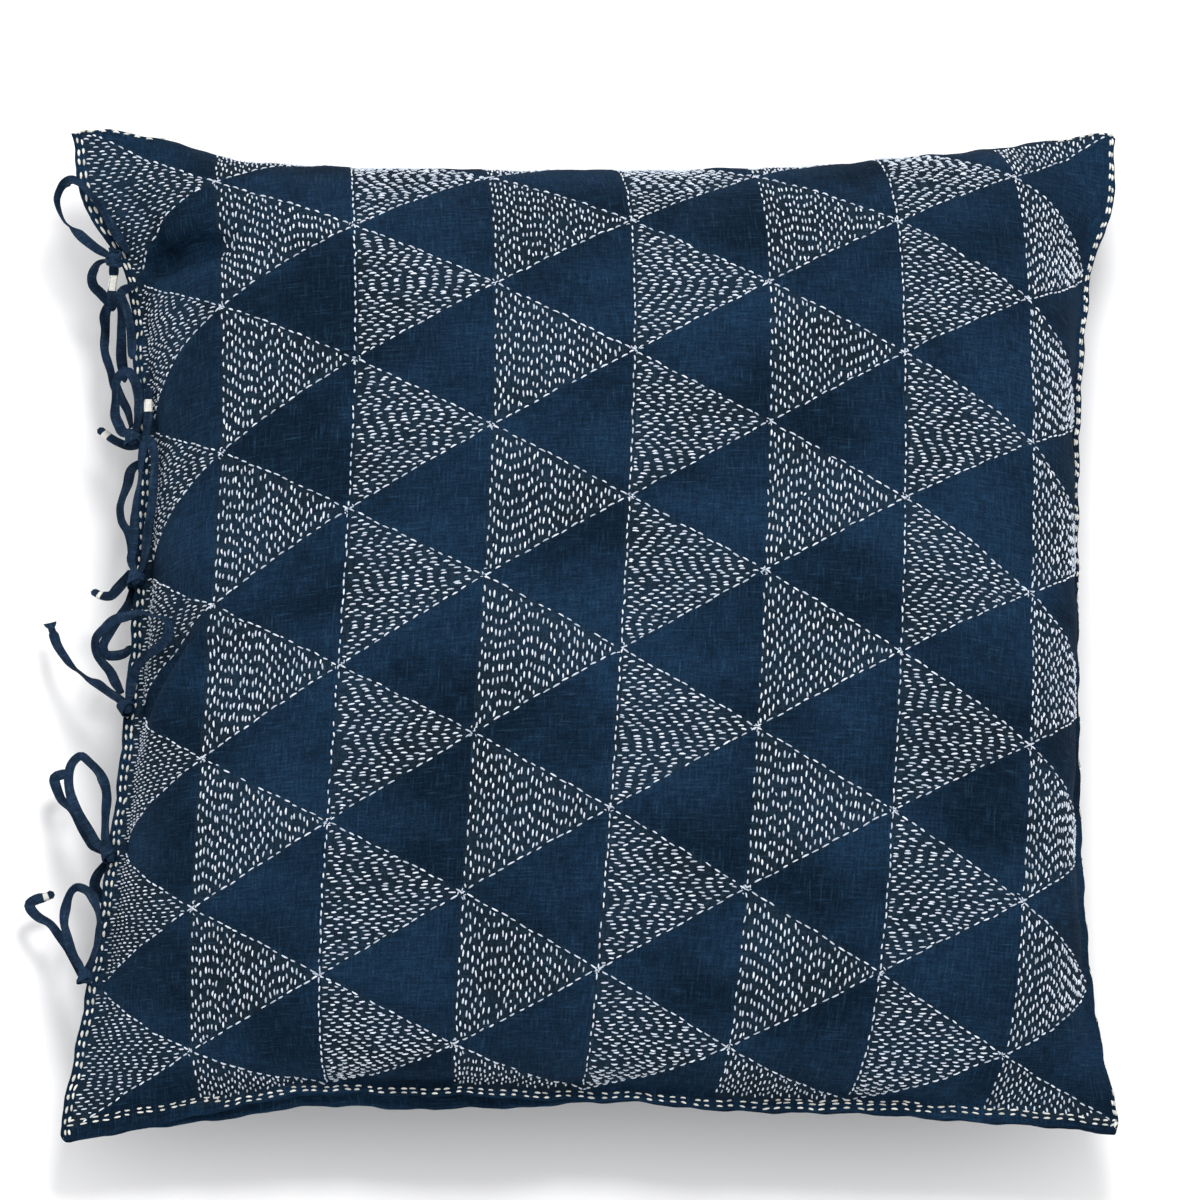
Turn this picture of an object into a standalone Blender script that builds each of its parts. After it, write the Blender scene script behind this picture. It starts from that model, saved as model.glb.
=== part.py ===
"""Kantha cushion: a filled square cotton cover, its left side tied shut with six bows.

It lies on its back. X runs across, Y along the tied side, Z up; the origin is under its middle.
"""
import math

import bmesh
import bpy
import numpy as np
from mathutils import Vector

NAME = "kantha_cushion"
MM = 0.001

# Cover, in metres
TIP = 0.2805            # corner tip from the middle line, filled and drawn in
SEAM_HEIGHT = 0.072     # hem above the surface, halfway along a side
CROWN_HEIGHT = 0.168    # top of the front
BACK_DEPTH = 0.088      # how far the back would hang below the hem if nothing stopped it
HEM_THICK = 0.003       # two layers turned in and stitched flat
HEM_SHARE = 0.03        # part of a half width that is flat hem
CROWN_ASIDE = 0.016     # middle of the cloth from the middle line, at the crown
CROWN_LEAN = 0.0085     # how much further aside it is at the top end, and less at the bottom end
SECTION_STEPS = 400     # steps that a rounded-over section is measured in
TURN_POWER = 4          # how late the hem's turn-down fades out towards a tip

# waist: hem from the middle line where the side is drawn in most, at: where that is along the
# side from -1 to 1, low and high: powers that say how late the side swings out to its two tips,
# hem: width of the flat hem seen from above, turn: how far its edge turns down, full: power of
# the rounded-over section from the hem to the crown, where 2 is an ellipse
SIDES = {
    "left": dict(waist=0.2390, at=0.25, low=1.9, high=2.0, hem=0.008, turn=0.000, full=2.6),
    "right": dict(waist=0.2590, at=0.10, low=3.8, high=2.6, hem=0.004, turn=0.004, full=3.8),
    "bottom": dict(waist=0.2685, at=-0.15, low=3.4, high=2.4, hem=0.009, turn=0.000, full=2.4),
    "top": dict(waist=0.2575, at=0.00, low=2.6, high=2.5, hem=0.002, turn=0.009, full=2.2),
}
# Where a hem stands out (+) or in (-) from its side's even curve: the place along the side from
# -1 to 1, the half length, and how far, at the hem's very edge
HEM_BENDS = {
    "left": [(-0.35, 0.80, 0.0055), (0.845, 0.080, 0.0078), (0.66, 0.09, -0.0035)],
    "right": [(0.84, 0.080, 0.0060)],
    "bottom": [(0.02, 0.12, -0.0040), (-0.50, 0.12, -0.0030)],
    "top": [(-0.84, 0.12, 0.0050), (0.66, 0.25, 0.0046)],
}
# How far each corner tip sits above (+) or hangs below (-) the middle of the sides
TIP_RISE = {("left", "top"): 0.004, ("right", "top"): 0.000,
            ("left", "bottom"): -0.026, ("right", "bottom"): -0.010}

# Soft folds of the front. x, y: middle, angle: the way it runs in degrees from +X, length and
# width: half sizes, depth: downwards, or upwards where negative, all in millimetres
FOLDS = [
    dict(x=-219, y=204, angle=5, length=34, width=13, depth=16),
    dict(x=-234, y=214, angle=-68, length=30, width=9, depth=9),
    dict(x=-228, y=-27, angle=68, length=40, width=8, depth=8),
    dict(x=-219, y=-38, angle=62, length=38, width=9, depth=-4),
    dict(x=-164, y=-8, angle=5, length=35, width=9, depth=2.5),
    dict(x=140, y=248, angle=75, length=24, width=9, depth=6),
    dict(x=254, y=-208, angle=-40, length=20, width=8, depth=8),
    dict(x=252, y=70, angle=80, length=50, width=7, depth=3),
]
# The front and back hems of the bottom side part here: the front one is lifted and drawn in
PARTING = dict(middle=-0.42, half=0.34, lift=0.006, draw=0.005)
HEM_WAVES = 0.0020      # height of the hem's slow waves
HEM_WAVE_COUNT = 5.5    # waves along a side
EDGE_POWER = 8          # how closely the hem's own shapes keep to the hem
DROOP_POWER = 3         # how closely a tip's rise or droop keeps to its corner
BEND_POWER = 4          # how sharply a bend of the hem begins and ends

CELLS = 34              # grid cells across the filled part
CELL_CROWDING = 0.55    # 0 spaces the cells evenly, 1 crowds them towards the hem
SHARP_ANGLE = 50        # degrees between faces from which their shared edge is sharp
MERGE = 0.00001         # points nearer than this are one

# Ties: flat tape of the same cloth
TAPE_WIDTH = 0.0062
TAPE_THICK = 0.0018
TAPE_STEP = 0.0065      # distance between the tape's sections
ROUTE_PARTS = 12        # pieces that a route is cut into between two of its points
KNOT = (0.0062, 0.0054, 0.0042)   # half sizes of a bow's knot
KNOT_ROUNDNESS = 2      # subdivisions of a knot's ball
PLAIN_TWIST = (0, 90)   # turn of a tape at its start and end where a bow gives none

# Each bow has one tie from the front hem, which wraps the knot, and one from the back hem.
# knot: middle of the knot, front and back: the points each tie follows, in millimetres.
# twist: turn of the tape about its own line at its start and its end, in degrees.
# more: other lengths of the same ties that come out of the knot on their own
BOWS = [
    dict(knot=(-257, 206, 80), twist=((10, 60), (20, 150)),
         front=[(-258, 211, 85), (-257, 206, 80), (-257, 203, 76), (-257, 199, 72),
                (-258, 192, 68), (-258, 182, 64)],
         back=[(-249, 210, 78), (-254, 218, 79), (-259, 227, 79), (-264, 235, 81),
               (-270, 241, 86), (-275, 247, 84), (-280, 252, 76), (-285, 253, 65),
               (-288, 248, 59), (-287, 242, 56), (-284, 235, 58), (-279, 229, 63),
               (-273, 222, 67), (-267, 216, 70), (-263, 213, 71)],
         more=dict(
             under=[(-260, 209, 68), (-264, 210, 62), (-267, 209, 57), (-269, 205, 54),
                    (-268, 200, 53), (-264, 196, 52), (-261, 192, 52), (-259, 188, 52)])),
    dict(knot=(-246, 105, 79), twist=((0, 60), (10, 190)),
         front=[(-246, 101, 82), (-246, 105, 79), (-244, 113, 80), (-243, 121, 80),
                (-243, 128, 80), (-245, 137, 80), (-249, 143, 78), (-254, 142, 74),
                (-256, 136, 71), (-256, 129, 69), (-256, 122, 67), (-254, 117, 66),
                (-252, 113, 66)],
         back=[(-247, 118, 60), (-249, 128, 57), (-253, 137, 53), (-257, 147, 49),
               (-260, 158, 46), (-262, 168, 43), (-262, 179, 41), (-262, 188, 40),
               (-259, 194, 41), (-255, 194, 43), (-253, 188, 46), (-253, 178, 48),
               (-253, 170, 49), (-253, 161, 51), (-252, 152, 54), (-251, 144, 58)],
         more=dict(
             lead=[(-253, 187, 80), (-250, 178, 79), (-248, 169, 79), (-247, 160, 79),
                   (-247, 155, 79), (-247, 150, 79)],
             tail=[(-239, 116, 63), (-241, 110, 61), (-248, 108, 58), (-254, 111, 54),
                   (-260, 116, 50), (-265, 121, 47)])),
    dict(knot=(-244, 26, 80), twist=((0, 150), (0, 120)),
         front=[(-243, 22, 83), (-244, 26, 80), (-241, 31, 81), (-239, 38, 83), (-238, 49, 85),
                (-236, 61, 89), (-235, 74, 92), (-234, 87, 93), (-235, 95, 93), (-238, 100, 92),
                (-240, 97, 90), (-241, 90, 88), (-242, 79, 85), (-244, 69, 83), (-245, 55, 81),
                (-246, 43, 79), (-247, 37, 77)],
         back=[(-247, 93, 62), (-249, 85, 61), (-252, 77, 59), (-253, 72, 58), (-252, 65, 58),
               (-249, 59, 60), (-247, 52, 61), (-246, 44, 62)],
         more=dict(
             tail=[(-247, 32, 69), (-250, 30, 66), (-254, 27, 60), (-258, 25, 53), (-263, 27, 47),
                   (-268, 31, 42)],
             curl=[(-247, 27, 62), (-248, 19, 58), (-253, 13, 54), (-258, 6, 50), (-262, -1, 48),
                   (-261, -6, 47), (-256, -7, 47), (-250, -6, 49), (-247, -3, 52)],
             end=[(-239, 94, 84), (-239, 103, 84), (-238, 114, 84), (-238, 123, 83),
                  (-238, 132, 83)])),
    dict(knot=(-249, -47, 80), twist=((0, 110), (0, 20)),
         front=[(-248, -51, 83), (-249, -47, 80), (-253, -40, 73), (-258, -34, 66),
                (-264, -27, 58), (-270, -21, 50), (-275, -15, 43), (-279, -10, 37),
                (-283, -3, 33), (-287, 5, 29), (-289, 12, 26), (-291, 19, 24)],
         back=[(-252, -35, 68), (-255, -29, 67), (-258, -22, 66), (-262, -17, 66),
               (-265, -13, 68), (-266, -9, 71), (-265, -5, 74), (-261, -2, 78), (-256, 1, 83),
               (-249, 1, 90), (-242, 0, 98), (-235, -4, 106), (-229, -8, 113), (-226, -14, 118),
               (-227, -20, 117), (-232, -23, 109), (-238, -24, 99), (-243, -26, 88),
               (-246, -30, 80), (-247, -37, 79)]),
    dict(knot=(-258, -128, 76), twist=((0, 150), (0, 60)),
         front=[(-257, -133, 78), (-258, -128, 76), (-260, -117, 70), (-260, -102, 64),
                (-260, -88, 58), (-263, -76, 54), (-269, -68, 51), (-274, -64, 49),
                (-279, -69, 48), (-280, -79, 49), (-277, -93, 53), (-269, -109, 60),
                (-265, -118, 65)],
         back=[(-261, -124, 63), (-266, -118, 56), (-270, -109, 49), (-275, -98, 42),
               (-279, -89, 36), (-284, -83, 32), (-287, -75, 28), (-288, -69, 26),
               (-284, -67, 26), (-279, -67, 27)],
         more=dict(
             stem=[(-258, -125, 63), (-262, -130, 60), (-265, -134, 56), (-266, -139, 54),
                   (-263, -144, 54), (-259, -148, 56), (-251, -150, 58)])),
    dict(knot=(-270, -195, 73), twist=((0, 120), (0, 80)),
         front=[(-269, -200, 77), (-270, -195, 73), (-266, -186, 77), (-263, -176, 80),
                (-263, -164, 78), (-265, -153, 70), (-270, -143, 59), (-276, -138, 50),
                (-280, -143, 50), (-282, -156, 51), (-280, -168, 54), (-277, -179, 58)],
         back=[(-272, -191, 55), (-276, -180, 49), (-280, -170, 43), (-285, -161, 37),
               (-290, -153, 32), (-296, -148, 28), (-300, -143, 25), (-301, -139, 24),
               (-297, -136, 23), (-293, -135, 23), (-288, -133, 24)]),
]

COLOURS = {"cloth": (0.012, 0.037, 0.085), "tape": (0.010, 0.030, 0.065)}


def clear_scene():
    """Remove every object."""
    for thing in list(bpy.data.objects):
        bpy.data.objects.remove(thing)


def cotton(name, colour):
    """A matt cotton material."""
    material = bpy.data.materials.new(name)
    material.use_nodes = True
    shader = material.node_tree.nodes["Principled BSDF"]
    shader.inputs["Base Color"].default_value = (*colour, 1)
    shader.inputs["Roughness"].default_value = 0.9
    shader.inputs["Metallic"].default_value = 0.0
    return material


def place(name, mesh, material, collection):
    """A finished mesh as a named object of the cushion."""
    thing = bpy.data.objects.new(name, mesh)
    mesh.materials.append(material)
    mesh.shade_smooth()
    mesh.set_sharp_from_angle(angle=math.radians(SHARP_ANGLE))
    collection.objects.link(thing)
    return thing


def section_table(side):
    """Run and height of a side's rounded-over section, each 0 to 1, against distance along it."""
    turn = np.linspace(0, math.pi / 2, SECTION_STEPS)
    run = np.sin(turn) ** (2 / SIDES[side]["full"])
    height = np.cos(turn) ** (2 / SIDES[side]["full"])
    rise = (CROWN_HEIGHT - SEAM_HEIGHT) / SIDES[side]["waist"]
    along = np.concatenate([[0], np.cumsum(np.hypot(np.diff(run), rise * np.diff(height)))])
    return along / along[-1], run, height


SECTIONS = {side: section_table(side) for side in SIDES}


def hem_distance(side, t):
    """Hem of a side from the middle line, at t from -1 to 1 along it.

    The swing ends where the next side's flat hem begins, so that a corner is blunt.
    """
    row = SIDES[side]
    t = math.copysign(min(abs(t) + HEM_SHARE * abs(t) ** EDGE_POWER, 1), t)
    if t > row["at"]:
        swing = ((t - row["at"]) / (1 - row["at"])) ** row["high"]
    else:
        swing = ((row["at"] - t) / (1 + row["at"])) ** row["low"]
    return row["waist"] + (TIP - row["waist"]) * swing


def hem_bend(side, t):
    """How far a side's hem stands out from its even curve, at t from -1 to 1 along it."""
    return sum(out * math.exp(-((t - at) / half) ** BEND_POWER) for at, half, out in HEM_BENDS[side])


def section(value, side_low, side_high):
    """The side that a place from -1 to 1 belongs to, and its section's run and height there."""
    side = side_high if value > 0 else side_low
    share = min(abs(value) / (1 - HEM_SHARE), 1)
    along, run, height = SECTIONS[side]
    return side, float(np.interp(share, along, run)), float(np.interp(share, along, height))


def across(value, side, run, other, other_height, aside):
    """Distance from the middle line and turn-down of the hem, for a place from -1 to 1.

    run: the section's run there, other: the place along the side, other_height: the height share
    that goes with it, aside: how far the middle of the cloth is from the middle line.
    """
    row = SIDES[side]
    body_share = min(abs(value) / (1 - HEM_SHARE), 1)
    hem_share = max(abs(value) - (1 - HEM_SHARE), 0) / HEM_SHARE
    run = body_share + (run - body_share) * other_height
    middle = math.copysign(aside * other_height, aside * value)
    out = middle + (hem_distance(side, other) - row["hem"] - middle) * run + row["hem"] * hem_share
    out += hem_bend(side, other) * abs(value) ** EDGE_POWER
    return math.copysign(1, value) * out, row["turn"] * hem_share * (1 - other ** TURN_POWER)


def fold_depth(x, y):
    """How far the soft folds press the front down at a place, in metres.

    A fold keeps its depth along most of its length and fades off softly to its sides.
    """
    depth = 0
    for fold in FOLDS:
        angle = math.radians(fold["angle"])
        dx, dy = x / MM - fold["x"], y / MM - fold["y"]
        along = (dx * math.cos(angle) + dy * math.sin(angle)) / fold["length"]
        off = (dy * math.cos(angle) - dx * math.sin(angle)) / fold["width"]
        depth += fold["depth"] * MM * math.exp(-along ** 4 - off ** 2)
    return depth


def parted(u, v):
    """How far the two layers of the bottom hem have come apart, 0 to 1."""
    if v > 0:
        return 0
    return abs(v) ** EDGE_POWER * math.exp(-((u - PARTING["middle"]) / PARTING["half"]) ** 4)


def seam_height(u, v):
    """Height of the hem's middle, carried on inwards as the plane that both faces rise from."""
    corner = ("right" if u > 0 else "left", "top" if v > 0 else "bottom")
    droop = TIP_RISE[corner] * abs(u * v) ** DROOP_POWER
    edge = max(abs(u), abs(v)) ** EDGE_POWER
    wave = math.sin(HEM_WAVE_COUNT * math.pi * u + v) * math.sin(HEM_WAVE_COUNT * math.pi * v + u)
    return SEAM_HEIGHT + droop + HEM_WAVES * edge * wave


def cover_point(u, v, front):
    """Where a place on the flat cover, -1 to 1 each way, sits on the filled cushion."""
    side_u, run_u, share_u = section(u, "left", "right")
    side_v, run_v, share_v = section(v, "bottom", "top")
    x, turn_x = across(u, side_u, run_u, v, share_v, CROWN_ASIDE + CROWN_LEAN * v)
    y, turn_y = across(v, side_v, run_v, u, share_u, 0)
    seam = seam_height(u, v) - turn_x - turn_y
    crown = share_u * share_v
    if not front:
        return Vector((x, y, max(seam - HEM_THICK / 2 - BACK_DEPTH * crown, 0)))
    apart = parted(u, v)
    rise = (CROWN_HEIGHT - SEAM_HEIGHT - HEM_THICK / 2) * crown
    dent = fold_depth(x, y) * (1 - max(abs(u), abs(v)) ** EDGE_POWER)
    lifted = seam + HEM_THICK / 2 + PARTING["lift"] * apart
    return Vector((x, y + PARTING["draw"] * apart, lifted + max(rise - dent, 0)))


def cell_lines():
    """Places of the grid's lines from -1 to 1: even cells crowded towards the hem, then the hem."""
    lines = [-1]
    for k in range(CELLS + 1):
        even = 2 * k / CELLS - 1
        crowded = math.sin(math.pi / 2 * even)
        lines.append((1 - HEM_SHARE) * (even + (crowded - even) * CELL_CROWDING))
    return lines + [1]


def build_cushion(material, collection):
    """The filled cover: a front and a back grid with a thin hem between them, as one solid."""
    lines = cell_lines()
    count = len(lines) - 1
    form = bmesh.new()
    bmesh.ops.create_grid(form, x_segments=count, y_segments=count, size=count / 2)
    front = list(form.faces)
    pushed = bmesh.ops.extrude_face_region(form, geom=front, use_keep_orig=True)
    back = {item for item in pushed["geom"] if isinstance(item, bmesh.types.BMVert)}
    for vert in form.verts:
        u = lines[round(vert.co.x + count / 2)]
        v = lines[round(vert.co.y + count / 2)]
        vert.co = cover_point(u, v, vert not in back)
    bmesh.ops.triangulate(form, faces=form.faces)
    bmesh.ops.recalc_face_normals(form, faces=form.faces)
    mesh = bpy.data.meshes.new("cushion")
    form.to_mesh(mesh)
    form.free()
    return place("cushion", mesh, material, collection)


def smooth_route(points):
    """Points TAPE_STEP apart on a smooth curve through a tie's points."""
    knots = [Vector(p) * MM for p in points]
    knots = [2 * knots[0] - knots[1]] + knots + [2 * knots[-1] - knots[-2]]
    fine = []
    for a, b, c, d in zip(knots, knots[1:], knots[2:], knots[3:]):
        for k in range(ROUTE_PARTS):
            t = k / ROUTE_PARTS
            fine.append(0.5 * (2 * b + (c - a) * t + (2 * a - 5 * b + 4 * c - d) * t ** 2
                               + (3 * b - a - 3 * c + d) * t ** 3))
    fine.append(knots[-2])
    lengths = [0]
    for a, b in zip(fine, fine[1:]):
        lengths.append(lengths[-1] + (b - a).length)
    steps = max(round(lengths[-1] / TAPE_STEP), 3)
    places = np.linspace(0, lengths[-1], steps + 1)
    axes = [np.interp(places, lengths, [p[k] for p in fine]) for k in range(3)]
    return [Vector(p) for p in zip(*axes)]


def tape_mesh(name, points, twist):
    """A tie as a mesh: a flat tape swept along its route, turned about its own line."""
    curve = bpy.data.curves.new(name, "CURVE")
    curve.dimensions = "3D"
    curve.twist_mode = "Z_UP"
    curve.extrude = (TAPE_WIDTH - TAPE_THICK) / 2
    curve.bevel_depth = TAPE_THICK / 2
    curve.bevel_resolution = 0
    curve.use_fill_caps = True
    route = smooth_route(points)
    spline = curve.splines.new("POLY")
    spline.points.add(len(route) - 1)
    for k, point in enumerate(route):
        share = k / (len(route) - 1)
        spline.points[k].co = (*point, 1)
        spline.points[k].tilt = math.radians(twist[0] + (twist[1] - twist[0]) * share)
    swept = bpy.data.objects.new(name, curve)
    bpy.context.scene.collection.objects.link(swept)
    depsgraph = bpy.context.evaluated_depsgraph_get()
    mesh = bpy.data.meshes.new_from_object(swept.evaluated_get(depsgraph))
    bpy.data.objects.remove(swept)
    form = bmesh.new()
    form.from_mesh(mesh)
    bmesh.ops.remove_doubles(form, verts=form.verts, dist=MERGE)
    bmesh.ops.recalc_face_normals(form, faces=form.faces)
    form.to_mesh(mesh)
    form.free()
    return mesh


def knot_mesh(name, middle):
    """A bow's knot: a small lump of wrapped tape."""
    form = bmesh.new()
    bmesh.ops.create_icosphere(form, subdivisions=KNOT_ROUNDNESS, radius=1)
    bmesh.ops.scale(form, vec=KNOT, verts=form.verts)
    bmesh.ops.translate(form, vec=Vector(middle) * MM, verts=form.verts)
    mesh = bpy.data.meshes.new(name)
    form.to_mesh(mesh)
    form.free()
    return mesh


def build_bow(number, bow, material, collection, cutters):
    """Ties of a bow: the front one wraps the knot, the others pass behind it."""
    front_twist, back_twist = bow["twist"]
    front = place(f"tie_{number}_front", tape_mesh("front", bow["front"], front_twist),
                  material, collection)
    knot = place(f"knot_{number}", knot_mesh("knot", bow["knot"]), material, cutters)
    knot.hide_render = True
    knot.display_type = "WIRE"
    wrap = front.modifiers.new("Knot", "BOOLEAN")
    wrap.operation = "UNION"
    wrap.object = knot
    place(f"tie_{number}_back", tape_mesh("back", bow["back"], back_twist), material, collection)
    for name, points in bow.get("more", {}).items():
        place(f"tie_{number}_{name}", tape_mesh(name, points, PLAIN_TWIST), material, collection)


def main():
    """Build the cushion and its ties."""
    clear_scene()
    collection = bpy.data.collections.new(NAME)
    cutters = bpy.data.collections.new("cutters")
    for group in (collection, cutters):
        bpy.context.scene.collection.children.link(group)
    build_cushion(cotton("indigo_cloth", COLOURS["cloth"]), collection)
    tape = cotton("indigo_tape", COLOURS["tape"])
    for number, bow in enumerate(BOWS, start=1):
        build_bow(number, bow, tape, collection, cutters)


main()
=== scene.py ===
"""Looks of the kantha cushion: stitched indigo cover, tape ties, thread, floor, light, camera."""
import math

import bmesh
import bpy
import numpy as np
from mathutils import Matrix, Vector


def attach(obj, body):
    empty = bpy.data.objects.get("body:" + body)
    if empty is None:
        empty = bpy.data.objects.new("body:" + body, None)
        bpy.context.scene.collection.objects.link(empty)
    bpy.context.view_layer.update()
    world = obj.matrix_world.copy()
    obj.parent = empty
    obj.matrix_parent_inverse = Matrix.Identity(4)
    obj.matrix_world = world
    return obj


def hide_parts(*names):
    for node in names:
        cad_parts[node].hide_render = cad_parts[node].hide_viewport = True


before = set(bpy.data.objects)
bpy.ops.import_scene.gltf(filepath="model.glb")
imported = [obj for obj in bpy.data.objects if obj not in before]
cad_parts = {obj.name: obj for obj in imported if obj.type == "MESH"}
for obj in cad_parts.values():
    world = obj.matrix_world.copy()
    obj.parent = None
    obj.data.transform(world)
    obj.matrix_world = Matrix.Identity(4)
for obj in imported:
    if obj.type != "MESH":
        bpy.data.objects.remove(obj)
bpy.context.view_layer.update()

MM = 0.001
BODY = "root"
SEED = 7

# The cover's form, as in the part's source, in metres
TIP = 0.2805
SEAM_HEIGHT = 0.072
CROWN_HEIGHT = 0.168
BACK_DEPTH = 0.088
HEM_THICK = 0.003
HEM_SHARE = 0.03
CROWN_ASIDE = 0.016
CROWN_LEAN = 0.0085
SECTION_STEPS = 400
TURN_POWER = 4
SIDES = {
    "left": dict(waist=0.2390, at=0.25, low=1.9, high=2.0, hem=0.008, turn=0.000, full=2.6),
    "right": dict(waist=0.2590, at=0.10, low=3.8, high=2.6, hem=0.004, turn=0.004, full=3.8),
    "bottom": dict(waist=0.2685, at=-0.15, low=3.4, high=2.4, hem=0.009, turn=0.000, full=2.4),
    "top": dict(waist=0.2575, at=0.00, low=2.6, high=2.5, hem=0.002, turn=0.009, full=2.2),
}
HEM_BENDS = {
    "left": [(-0.35, 0.80, 0.0055), (0.845, 0.080, 0.0078), (0.66, 0.09, -0.0035)],
    "right": [(0.84, 0.080, 0.0060)],
    "bottom": [(0.02, 0.12, -0.0040), (-0.50, 0.12, -0.0030)],
    "top": [(-0.84, 0.12, 0.0050), (0.66, 0.25, 0.0046)],
}
TIP_RISE = {("left", "top"): 0.004, ("right", "top"): 0.000,
            ("left", "bottom"): -0.026, ("right", "bottom"): -0.010}
FOLDS = [
    dict(x=-219, y=204, angle=5, length=34, width=13, depth=16),
    dict(x=-234, y=214, angle=-68, length=30, width=9, depth=9),
    dict(x=-228, y=-27, angle=68, length=40, width=8, depth=8),
    dict(x=-219, y=-38, angle=62, length=38, width=9, depth=-4),
    dict(x=-164, y=-8, angle=5, length=35, width=9, depth=2.5),
    dict(x=140, y=248, angle=75, length=24, width=9, depth=6),
    dict(x=254, y=-208, angle=-40, length=20, width=8, depth=8),
    dict(x=252, y=70, angle=80, length=50, width=7, depth=3),
]
PARTING = dict(middle=-0.42, half=0.34, lift=0.006, draw=0.005)
HEM_WAVES = 0.0020
HEM_WAVE_COUNT = 5.5
EDGE_POWER = 8
DROOP_POWER = 3
BEND_POWER = 4
HEM_ROUGH = 0.0006          # the small unevenness of the hem's edge
CORNER_BLUNT = 0.0028       # the corners are this much blunter than the part's
HEM_LAYER = 0.0013          # thickness of each of the hem's two layers
GAP_DEPTH = 0.0055          # depth of the gap between them, at most
# Creases that the cloth has beside the part's folds, pressed in square to its surface
CREASES = [
    dict(x=-222, y=205, angle=6, length=25, width=6, depth=9.5),
    dict(x=-240, y=224, angle=-62, length=30, width=5, depth=4),
    dict(x=-229, y=-38, angle=55, length=22, width=5, depth=6.5),
    dict(x=-216, y=-42, angle=58, length=34, width=6.5, depth=-6.5),
]

# Where the front cloth has slid along the cushion. u, v: middle, wide, high: half sizes, by: how
# far, up or down (-), all as shares of a half side
SLIDES = [
    dict(u=-1.00, v=0.35, wide=0.22, high=0.50, by=-0.026),
    dict(u=-0.70, v=-0.28, wide=0.45, high=0.55, by=-0.028),
    dict(u=0.00, v=0.80, wide=0.60, high=0.28, by=0.012),
    dict(u=1.00, v=0.00, wide=0.30, high=2.00, by=-0.014),
]

# The cover's relief, in metres
PUFF = 0.0011               # the plain triangles stand out from the stitched ones
QUILT = 0.00022             # ripples between the stitches
WAVES = 0.0004              # slow waves in the cloth

# How the cover is draped as cloth over the part's form, on a grid that is closer on the hem than
# on the body
HEM_LINES = (0.99, 0.98)
BODY_CELLS = 116
BODY_EDGE = 1 - HEM_SHARE
LINES = np.concatenate([[-1], [-h for h in HEM_LINES],
                        np.linspace(-BODY_EDGE, BODY_EDGE, BODY_CELLS + 1), HEM_LINES[::-1], [1]])
INNER = len(HEM_LINES) + 1  # grid lines from the edge to the body
CUT_EASE = 1.02             # the cut against the filled form, so that the cloth isn't overstretched
FRONT_CAP = 0.006           # how far the front may move from the form, in metres
BACK_CAP = 0.008
SIM_FRAMES = 30
CLOTH_SETTINGS = dict(
    quality=5, mass=0.25, tension_stiffness=12, compression_stiffness=12, shear_stiffness=4,
    bending_stiffness=0.6, tension_damping=5, compression_damping=5, shear_damping=5,
    air_damping=2, use_pressure=True, uniform_pressure_force=1.6)

# The flat cover and its pattern, in millimetres
COVER = 600                 # side of the flat cover
HALF = COVER / 2
COLUMN = 73.6               # width of a column of triangles
ROW = 84.1                  # height of a triangle's base
PATTERN_HALF = 294.4        # the pattern ends this far from the middle
COLUMNS = 8
TRIANGLES = 7               # triangles in a column
BACK_UV = 1.2               # the back panel's place beside the front one, as a share of the cover
HEM_FLAT = (0.0, 1.0, 2.2, 8.0, 11.0)   # where the hem's edge and gap lie outside the flat panel

# Running stitches, in millimetres
STITCH_PITCH = 6.6
STITCH_LENGTH = 4.0
ROW_SPACING = 2.4
THREAD_RADIUS = 0.48
LEVEL_SPACING = 2.15        # rows across, which lie closer
SLACK = 0.5                 # how far stitches stray from their line
FIRST_SPACING = 2.30        # the first column, which is sewn finer and more evenly
FIRST_SLACK = 0.22
FIRST_THICK = 0.84
EDGE_GAP = 1.5              # no stitch lies closer to the pattern's edge
SHORTEST_ROW = 2.0          # no row of a filled triangle is shorter
FILL_MARGIN = 6.0           # the filled rows end this far from the cover's right edge
FIRST_MARGIN = 5.3          # and this far from its left one
OUTLINE_PITCH = 5.6
OUTLINE_LENGTH = 4.2
BASE_PITCH = 5.2            # the line along the bases of a column of triangles
BASE_LENGTH = 3.7
FIRST_START = 6.0           # the outlines start this far from the pattern's left edge
LAST_END = 4.0              # and end this far from its right one
LEAST_INSIDE = 4.0          # what reaches less far into the pattern is left out
OUTLINE_RADIUS = 0.94 * THREAD_RADIUS
CROSS_ANGLES = (25, 80, 120, 165)   # little stitches where the corners of triangles meet
# How far on each row of stitches may start from the last one, as shares of their pitch
DRIFTS = (0.14, -0.14, 0.5, 0.5, 0.42, 0.58, 0.28, -0.28)

# The border's stitches, in millimetres. Of each side: the way out and the way along, the rows'
# distances in from the edge, and the thickness against the others
BORDER_PITCH = 6.4
BORDER_LENGTH = 4.0
BORDER_RADIUS = 0.62
BORDER_FROM_CORNER = 3.0
THIRD_ROW = 6.0             # a third row at the bottom
THIRD_ROW_RUN = (95, 185)   # from where to where it runs
BORDERS = {
    "left": ((-1, 0), (0, 1), (1.7, 4.2), 1.12),
    "right": ((1, 0), (0, 1), (1.6, 4.2), 1.0),
    "bottom": ((0, -1), (1, 0), (1.6, 4.3, THIRD_ROW), 0.85),
    "top": ((0, 1), (1, 0), (1.6, 4.2), 0.9),
}
ROLLED = (-0.955, 0.16)     # the right hem is rolled under between these shares of a half side
ROLLED_BY = 6.5
TUCKED = 0.86               # up to this share of a half side from its middle, the top hem is too
STEPPED = -0.69             # left of here the bottom border runs further in
STEPPED_BY = 6.5
DRAWN_IN = (140, 220, 3.0)  # from here to there the bottom border moves in by this much

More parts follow.
